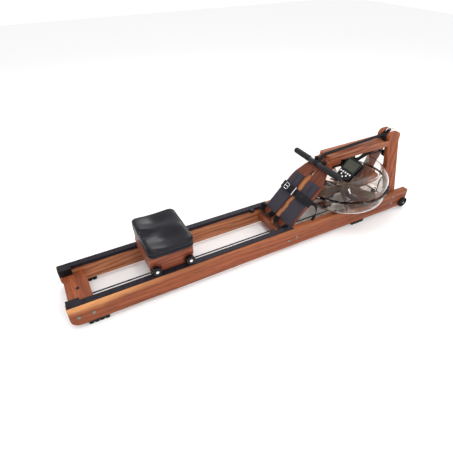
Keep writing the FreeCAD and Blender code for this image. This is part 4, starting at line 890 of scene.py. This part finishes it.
# %% Water body
WATER_LEVEL = DEPTH - 0.012
WATER_GAP, FLOOR_REACH = 0.0006, 0.2
water_side = [Vector((max(p.x - WATER_GAP, 0), p.y + (WATER_GAP if p.x < FLOOR_REACH else 0)))
              for p in lower_inner if p.y < WATER_LEVEL]
water_profile = water_side + [Vector((BELLY - WALL - 0.0008, WATER_LEVEL)), Vector((0, WATER_LEVEL))]
water = lathe("tank_water", water_profile, (TANK_X, 0, TANK_BASE), UP, water_clear, 128, sharp=50)
settle(water, "frame", "clear_tank")
print("water level", round(TANK_BASE + WATER_LEVEL, 4))


# %% [markdown]
# ## Handle
# The handle is a bar with a smooth sleeve in the middle and a foam-rubber grip at each end. Plain
# cylinders would look stiff, so the grips are lathed with a slight swell and rounded ends, and the sleeve
# with a shallow waist. A loop of webbing, made with the strap below, hugs the waist and ties the handle to
# the strap.

# %% Grips and sleeve
HANDLE_ALONG, HANDLE_OUT, HANDLE_HALF = 0.4065, 0.0225, 0.190
GRIP_RADIUS, SLEEVE_RADIUS, SLEEVE_HALF, CORE_RADIUS = 0.017, 0.0135, 0.058, 0.008
HANDLE_PLACE = on_board(HANDLE_ALONG, 0, HANDLE_OUT)
grip_span = HANDLE_HALF - SLEEVE_HALF
grip_profile = [(CORE_RADIUS, 0.0004), (GRIP_RADIUS - 0.003, 0.0), (GRIP_RADIUS - 0.0004, 0.007),
                (GRIP_RADIUS, grip_span * 0.5), (GRIP_RADIUS - 0.0004, grip_span - 0.007),
                (GRIP_RADIUS - 0.004, grip_span), (0, grip_span)]
for side in SIDES:
    grip = lathe(f"grip_{SIDE_NAMES[side]}", rounded_profile(grip_profile, 0.004, 5),
                 HANDLE_PLACE + ACROSS * side * SLEEVE_HALF, ACROSS * side, grip_foam, 64)
    settle(grip, "handle", "grip_rubber", *(("handle_grips",) if side > 0 else ()))
WAIST_RADIUS, WAIST_HALF, WAIST_START = SLEEVE_RADIUS - 0.0008, 0.016, 0.020
sleeve_profile = [(CORE_RADIUS, -SLEEVE_HALF), (SLEEVE_RADIUS, -SLEEVE_HALF), (SLEEVE_RADIUS, -WAIST_START),
                  (WAIST_RADIUS, -WAIST_HALF), (WAIST_RADIUS, WAIST_HALF), (SLEEVE_RADIUS, WAIST_START),
                  (SLEEVE_RADIUS, SLEEVE_HALF), (CORE_RADIUS, SLEEVE_HALF)]
sleeve = lathe("handle_sleeve_moulding", rounded_profile(sleeve_profile, 0.0015, 4), HANDLE_PLACE, ACROSS,
               sleeve_finish, 64)
settle(sleeve, "handle", "sleeve_plastic", "handle_sleeve")
print("handle at", tuple(round(c, 4) for c in HANDLE_PLACE))

# %% [markdown]
# ## Drive strap
# A flat webbing band runs from the handle between two rubber stops, over the deck's rear edge, along the
# deck to the pulley between the posts, round it and back under the deck, where it turns on edge and winds
# on the drum. The handle moves, but the band is one mesh swept in place and left fixed, on no body.
# The turns already on the drum are one turned ring.

# %% Strap path
STRAP_WIDTH, STRAP_THICK = 0.024, 0.0021
deck_low, deck_high = (Vector(c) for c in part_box("top_deck"))
pulley_low, pulley_high = (Vector(c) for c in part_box("top_pulley"))
PULLEY = (pulley_low + pulley_high) / 2
PULLEY_GROOVE, STRAP_GAP = 0.025, 0.0003
WRAP = PULLEY_GROOVE + STRAP_GAP + STRAP_THICK / 2
drum_low, drum_high = (Vector(c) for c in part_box("drive_drum"))
DRUM = (drum_low + drum_high) / 2
SPOOL, COIL_INNER, COIL_OUTER = 0.0313, 0.0303, 0.0363
TWIST_AFTER, DRUM_LEAD, FALL = 0.075, 0.048, math.radians(12)
EDGE_PLACE = Vector((deck_low.x - 0.001, 0, deck_high.z + 0.0026))
strap_start = on_board(HANDLE_ALONG + SLEEVE_RADIUS + 0.0012, 0, HANDLE_OUT - 0.002)


def strap_path():
    """Points of the band's middle line with the direction of its width at each."""
    run = PULLEY - EDGE_PLACE
    rise = math.atan2(run.z, run.x) + math.asin(WRAP / run.length)
    on = PULLEY + Vector((-math.sin(rise), 0, math.cos(rise))) * WRAP
    path = smooth_path([strap_start, strap_start.lerp(EDGE_PLACE, 0.5) + Vector((-0.001, 0, 0.002)),
                        EDGE_PLACE + Vector((0.004, 0, 0.0)), EDGE_PLACE.lerp(on, 0.06)], 10)
    path += [EDGE_PLACE.lerp(on, 0.06 + 0.94 * k / 24) for k in range(1, 25)]
    first, last = math.pi / 2 + rise, -math.pi / 2 + FALL
    path += [PULLEY + Vector((math.cos(a), 0, math.sin(a))) * WRAP
             for a in (first + (last - first) * k / 18 for k in range(1, 19))]
    sides = [ACROSS.copy() for _ in path]
    leave = path[-1] + Vector((-math.cos(FALL), 0, -math.sin(FALL))) * TWIST_AFTER
    ahead = Vector((DRUM.x + DRUM_LEAD, -SPOOL, DRUM.z))
    for k in range(13):
        share = k / 12
        path.append(leave.lerp(ahead, share))
        turn = math.radians(90) * share
        sides.append(Vector((0, math.cos(turn), math.sin(turn))))
    path += [Vector((DRUM.x + DRUM_LEAD * (1 - k / 4), -SPOOL, DRUM.z)) for k in range(1, 5)]
    sides += [UP.copy()] * 4
    return path, sides


print("strap wraps the pulley at", round(WRAP, 5))

# %% Strap and coil
path, sides = strap_path()
strap = sweep("drive_strap_band", path, band_section(STRAP_WIDTH, STRAP_THICK), sides, drive_webbing)
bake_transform(strap)
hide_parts("drive_strap")
coil_profile = [(COIL_INNER, -STRAP_WIDTH / 2), (COIL_OUTER, -STRAP_WIDTH / 2), (COIL_OUTER, STRAP_WIDTH / 2),
                (COIL_INNER, STRAP_WIDTH / 2)]
coil = lathe("strap_coil", coil_profile, DRUM, UP, drive_webbing, 64, closed=True)
settle(coil, "frame", "drive_webbing")
print("strap points:", len(path), "length", path_length(path))

# %% Loop on the sleeve
loop_radius = SLEEVE_RADIUS + 0.0009
loop_path = [HANDLE_PLACE + (SLOPE * math.cos(a) + BOARD_OUT * math.sin(a)) * loop_radius
             for a in (2 * math.pi * k / 40 for k in range(40))]
loop = sweep("strap_loop", loop_path, band_section(0.026, 0.0016), ACROSS, drive_webbing, closed=True)
settle(loop, "handle", "drive_webbing")
print("loop radius", loop_radius)

# %% [markdown]
# ## Rubber stops
# Two rubber knobs stand on the rest at the board's top, and the parked handle leans on them. A cylinder
# would do from far off, but the rounded head catches a small light, so each is lathed as a short neck
# under a round head.

# %% Stops
STOP_RADIUS, STOP_HEIGHT, STOP_ACROSS = 0.012, 0.025, 0.032
stop_along = HANDLE_ALONG + SLEEVE_RADIUS + STOP_RADIUS + 0.0003
stop_profile = rounded_profile([(0, 0), (0.0095, 0), (0.0095, 0.006), (STOP_RADIUS, 0.010),
                                (STOP_RADIUS, 0.018), (0.008, STOP_HEIGHT), (0, STOP_HEIGHT)], 0.006, 6)
for side in SIDES:
    knob = lathe(f"rubber_stop_{SIDE_NAMES[side]}", stop_profile, on_board(stop_along, side * STOP_ACROSS, 0),
                 BOARD_OUT, rubber, 48)
    settle(knob, "frame", "black_rubber", *(("handle_bumpers",) if side > 0 else ()))
print("stops at", round(stop_along, 4))

# %% [markdown]
# ## Toe strap
# One wide band of black webbing crosses the board over both feet. It arches over each plate, dips between
# them and wraps the edges of the board. Cloth simulation would make it sag, but the real one is pulled
# tight over the plates, so it is swept along a chosen path. Its spare end hangs in a bend at the board's
# right edge.

# %% Band over the feet
STRAP_AT, TOE_WIDTH, TOE_THICK, TAIL_WIDTH, TAIL_THICK = 0.212, 0.044, 0.0028, 0.020, 0.0022
EDGE, FACE = 0.1165, 0.0053
CREST = FACE + 0.0225
EDGE_OUT = EDGE + 0.0022
half_points = [(0.0, FACE + 0.0062), (0.010, FACE + 0.0066), (0.022, FACE + 0.0125), (0.036, CREST - 0.0020),
               (0.060, CREST), (0.084, CREST - 0.0008), (0.102, CREST - 0.0070),
               (EDGE - 0.001, FACE + 0.0070), (EDGE_OUT, FACE - 0.004), (EDGE_OUT, -0.008),
               (EDGE_OUT, -0.0185)]
cross = [(-y, n) for y, n in reversed(half_points[1:])] + half_points
toe_path = smooth_path([on_board(STRAP_AT, y, n) for y, n in cross], 6)
toe = sweep("toe_strap_band", toe_path, band_section(TOE_WIDTH, TOE_THICK), SLOPE, toe_webbing)
settle(toe, "frame", "toe_webbing", "toe_strap")
print("toe strap length", path_length(toe_path))

# %% Loose tail
tail_points = [on_board(0.205, -EDGE - 0.001, FACE + 0.006), on_board(0.214, -EDGE - 0.005, -0.004),
               on_board(0.224, -EDGE - 0.009, -0.030), on_board(0.214, -EDGE - 0.012, -0.066),
               on_board(0.180, -EDGE - 0.013, -0.094), on_board(0.128, -EDGE - 0.013, -0.098),
               on_board(0.100, -EDGE - 0.012, -0.088)]
tail_path = smooth_path(tail_points, 8)
tail = sweep("toe_strap_tail", tail_path, band_section(TAIL_WIDTH, TAIL_THICK),
             (SLOPE + ACROSS * 0.5).normalized(), toe_webbing)
settle(tail, "frame", "toe_webbing")
print("tail length", path_length(tail_path))

# %% [markdown]
# ## Peg holes
# A foot plate is set to length by dropping its tab over pegs. The holes of a tab are cut in the CAD plate,
# but they are small and the board behind them is pale, so they hardly show. Rather than darken the board,
# each of the four gets a dark sunk plug with a thin rim, which moves with its plate. The plug is painted
# shade: a dark piece for the shade inside the hole.

# %% Plugs
PEG_FIRST, PEG_PITCH, PEG_COUNT, TAB_ACROSS = 0.255, 0.013, 4, 0.065
# Each plug is painted shade: a dark sunk disc for the shade inside a peg hole.
hole_shade_profile = [(0, 0.0012), (0.0025, 0.0012), (0.0025, 0.0052), (0.0036, 0.0054), (0.0036, 0.0058),
                (0.0019, 0.0058), (0.0017, 0.0030), (0, 0.0030)]
for side in SIDES:
    for k in range(PEG_COUNT):
        hole_shade = lathe(f"peg_hole_shade_{SIDE_NAMES[side]}_{k + 1}", hole_shade_profile,
                     on_board(PEG_FIRST + PEG_PITCH * k, side * TAB_ACROSS, 0), BOARD_OUT, black_satin, 24)
        settle(hole_shade, f"{SIDE_NAMES[side]}_footrest", "black_plastic")
print("peg plugs:", PEG_COUNT * len(SIDES))

# %% [markdown]
# ## Buckle, slide and studs
# The buckle is a bent wire frame with a tongue, the slide a flat bright bar, and the studs are round caps.
# A frame cut from a block would have square edges, so the wire is a circle swept round a rounded
# rectangle.


# %% Fittings
def rounded_loop(along, across, half_along, half_across, out, corner, steps=5):
    outline = rounded_profile(rectangle(half_along, half_across), corner, steps, closed=True)
    return [on_board(along + p.x, across + p.y, out) for p in outline]


FITTING_OUT = CREST + 0.0032
wire = sweep("wire_buckle_frame", rounded_loop(STRAP_AT, 0.062, 0.017, 0.014, FITTING_OUT, 0.006),
             round_section(0.0017), BOARD_OUT, bright_metal, closed=True)
settle(wire, "frame", "bright_steel", "strap_fittings")
tongue = sweep("buckle_tongue", [on_board(STRAP_AT, 0.050, FITTING_OUT + 0.0006),
                                 on_board(STRAP_AT, 0.077, FITTING_OUT + 0.0016)],
               round_section(0.0013), SLOPE, bright_metal)
settle(tongue, "frame", "bright_steel")
print("buckle stands at", round(FITTING_OUT, 4))

# %% Slide and studs
SLIDE_ACROSS, SLIDE_HALF, SLIDE_OUT = 0.006, 0.025, FACE + 0.0125
slide = sweep("bar_slide_plate", [on_board(STRAP_AT - SLIDE_HALF, SLIDE_ACROSS, SLIDE_OUT),
                                  on_board(STRAP_AT, SLIDE_ACROSS, SLIDE_OUT + 0.0015),
                                  on_board(STRAP_AT + SLIDE_HALF, SLIDE_ACROSS, SLIDE_OUT)],
              band_section(0.007, 0.003), ACROSS, bright_metal)
settle(slide, "frame", "bright_steel")
STUDS = ((-0.030, 0.006), (-0.070, 0.010), (0.094, 0.006))
for across, radius in STUDS:
    stud = lathe(f"strap_stud_{int(abs(across) * 1000)}",
                 rounded_profile([(0, 0), (radius, 0), (radius, 0.0022), (radius * 0.7, 0.0040), (0, 0.0044)],
                                 0.0012, 4),
                 on_board(STRAP_AT + 0.004, across, CREST - 0.0016 - (0.003 if abs(across) < 0.04 else 0.0)),
                 BOARD_OUT, black_gloss, 40)
    settle(stud, "frame", "black_plastic")
print("slide and studs:", len(STUDS))

# %% [markdown]
# ## Monitor face
# The case keeps its CAD shape. What gives a monitor its look is the raised rim round the display and the
# rounded keys. They could be bumps in a material, but they show in outline from low angles, so a rim is
# swept round the window and a key is lathed for each button.

# %% Monitor frame of reference
MONITOR_ANGLE = math.radians(44)
MONITOR_ORIGIN = Vector((0.507, -0.132, 0.420))
FACE_UP = Vector((math.cos(MONITOR_ANGLE), 0, math.sin(MONITOR_ANGLE)))
FACE_OUT = Vector((-math.sin(MONITOR_ANGLE), 0, math.cos(MONITOR_ANGLE)))


def on_monitor(along, across, out):
    return MONITOR_ORIGIN + FACE_UP * along + ACROSS * across + FACE_OUT * out


print("monitor face at", tuple(MONITOR_ORIGIN))

# %% Rim and keys
WINDOW_HALF_UP, WINDOW_HALF_ACROSS, RIM_OUT, KEY_OUT = 0.0300, 0.0425, 0.0052, 0.0018
rim_outline = rounded_profile(rectangle(WINDOW_HALF_UP, WINDOW_HALF_ACROSS), 0.006, 5, closed=True)
rim = sweep("display_rim", [on_monitor(p.x, p.y, RIM_OUT) for p in rim_outline], band_section(0.0040, 0.0022),
            FACE_OUT.cross(ACROSS), black_gloss, closed=True)
settle(rim, "monitor", "black_plastic")
KEY_PITCH = 0.0166
KEYS = [(-0.046, column) for column in range(-2, 3)] + [(-0.060, -1), (-0.060, 1), (-0.072, 0)]
key_corners = [(0, 0), (0.0045, 0), (0.0045, 0.0042), (0.0030, 0.0052), (0, 0.0055)]
key_profile = rounded_profile(key_corners, 0.0010, 4)
for number, (along, column) in enumerate(KEYS, start=1):
    key = lathe(f"key_{number}", key_profile, on_monitor(along, column * KEY_PITCH, KEY_OUT), FACE_OUT,
                white_button, 32)
    settle(key, f"button_{number}", "white_button", f"button_{number}")
print("keys:", len(KEYS))

# %% [markdown]
# ## Transport wheels
# The machine is wheeled away on two small discs with a sunk face. Five spokes fill the sunk ring. They
# could be cut out of the disc, but the CAD wheel stays whole, so each spoke is a bar with rounded edges
# laid in the ring.

# %% Spokes
roller_low, roller_high = (Vector(c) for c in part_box("right_roller"))
ROLLER = (roller_low + roller_high) / 2
SPOKES, SPOKE_TURN, SPOKE_SINK, SPOKE_FROM, SPOKE_TO = 5, 0.3, 0.0026, 0.0085, 0.0215
for side in SIDES:
    face = side * max(abs(roller_low.y), abs(roller_high.y))
    body = f"{SIDE_NAMES[side]}_roller"
    for k in range(SPOKES):
        angle = 2 * math.pi * k / SPOKES + SPOKE_TURN
        ray = Vector((math.cos(angle), 0, math.sin(angle)))
        centre = Vector((ROLLER.x, face - side * SPOKE_SINK, ROLLER.z))
        spoke = sweep(f"{body}_spoke_{k + 1}", [centre + ray * SPOKE_FROM, centre + ray * SPOKE_TO],
                      band_section(0.0060, 0.0036), ray.cross(ACROSS), black_satin)
        settle(spoke, body, "roller_plastic")
print("spokes:", SPOKES * len(SIDES))

# %% [markdown]
# ## Rubber feet
# Each foot is a strip of four fat ribs under the rail. Separate ribs could stand under a plate, but the
# real strip is one moulding, so one side view with all its ribs is pushed across the rail and drawn in a
# little at both ends. Four strips stand for the CAD node.

# %% Side view of a foot
FOOT_PITCH, FOOT_RIBS, FOOT_ROUND = 0.024, 4, 0.0022
RAIL_INNER, RAIL_WIDE, RAIL_LIFT, PLATE_UNDER = 0.120, 0.035, 0.0225, 0.0190
half_rib = [(-0.0110, 0.020), (-0.0112, 0.010), (-0.0085, 0.0022), (-0.004, 0.0)]
rib_outline = half_rib + [(-x, z) for x, z in reversed(half_rib)]


def foot_outline(foot_x):
    ribs = []
    for k in range(FOOT_RIBS):
        centre = foot_x + FOOT_PITCH * (k - (FOOT_RIBS - 1) / 2)
        ribs += [(centre + x, z) for x, z in rib_outline]
    start, stop = foot_x - FOOT_PITCH * FOOT_RIBS / 2, foot_x + FOOT_PITCH * FOOT_RIBS / 2
    return rounded_profile([(start, RAIL_LIFT), (start, PLATE_UNDER)] + ribs
                           + [(stop, PLATE_UNDER), (stop, RAIL_LIFT)], FOOT_ROUND, 3, closed=True)


print("rib points:", len(rib_outline))

# %% Feet
FOOT_STATIONS = ((-0.0165, 0.16), (-0.0150, 0.0), (0.0150, 0.0), (0.0165, 0.16))
DRAWN_TO, DRAWN_ALONG = 0.0205, 0.1


def foot_strip(name, foot_x, middle_y):
    """The side view at four stations across the rail, each with the share by which it is drawn in."""
    outline = foot_outline(foot_x)
    count = len(outline)
    corners, faces = [], []
    for station, share in FOOT_STATIONS:
        corners += [(p.x + (foot_x - p.x) * share * DRAWN_ALONG, middle_y + station,
                     p.y + max(DRAWN_TO - p.y, 0.0) * share) for p in outline]
    for level in range(len(FOOT_STATIONS) - 1):
        for k in range(count):
            a, b = level * count + k, level * count + (k + 1) % count
            faces.append((a, b, b + count, a + count))
    faces += [tuple(range(count)), tuple(range(3 * count, 4 * count))]
    return mesh_piece(name, corners, faces, rubber)


for side in SIDES:
    for place, foot_x in (("rear", -0.918), ("front", 0.645)):
        strip = foot_strip(f"foot_{place}_{SIDE_NAMES[side]}", foot_x, side * (RAIL_INNER + RAIL_WIDE / 2))
        settle(strip, "frame", "black_rubber", *(("rubber_feet",) if (side > 0 and place == "rear") else ()))
print("feet: 4 strips of", FOOT_RIBS, "ribs")

# %% [markdown]
# ## Strap guard
# A bright bent rod over the pulley keeps the strap in its groove. Straight pieces would leave hard
# corners, so it is one circle swept along a hairpin: up from one cheek, round over the front and down to
# the other.

# %% Guard
guard_path = smooth_path([PULLEY + Vector((x, y, z)) for x, y, z in
                          ((-0.024, -0.0140, 0.030), (-0.020, -0.0140, 0.040), (0, -0.0135, 0.0455),
                           (0.016, -0.008, 0.0440), (0.022, 0.0, 0.0415), (0.016, 0.008, 0.0440),
                           (0, 0.0135, 0.0455), (-0.020, 0.0140, 0.040), (-0.024, 0.0140, 0.030))], 6)
guard = sweep("strap_guard", guard_path, round_section(0.0024), UP, bright_metal)
settle(guard, "frame", "bright_steel")
print("guard placed")

# %% [markdown]
# ## Floor and finish
# The floor is one pale plane, wide enough for its edge to stay far off. A curved backdrop would hide the
# edge from low angles too, but it would stand in the way of some.

# %% Floor
floor_mesh = bpy.data.meshes.new("floor")
FLOOR_HALF = 8
floor_mesh.from_pydata([(x, y, 0) for x, y in rectangle(FLOOR_HALF, FLOOR_HALF)], [], [(0, 1, 2, 3)])
floor = bpy.data.objects.new("floor", floor_mesh)
bpy.context.scene.collection.objects.link(floor)
floor_material, _, floor_surface = new_material("studio_floor")
floor_surface.inputs["Base Color"].default_value = (0.93, 0.93, 0.93, 1)
floor_surface.inputs["Roughness"].default_value = 0.9
floor_surface.inputs["Specular IOR Level"].default_value = 0.1
floor_mesh.materials.append(floor_material)
print("floor placed")
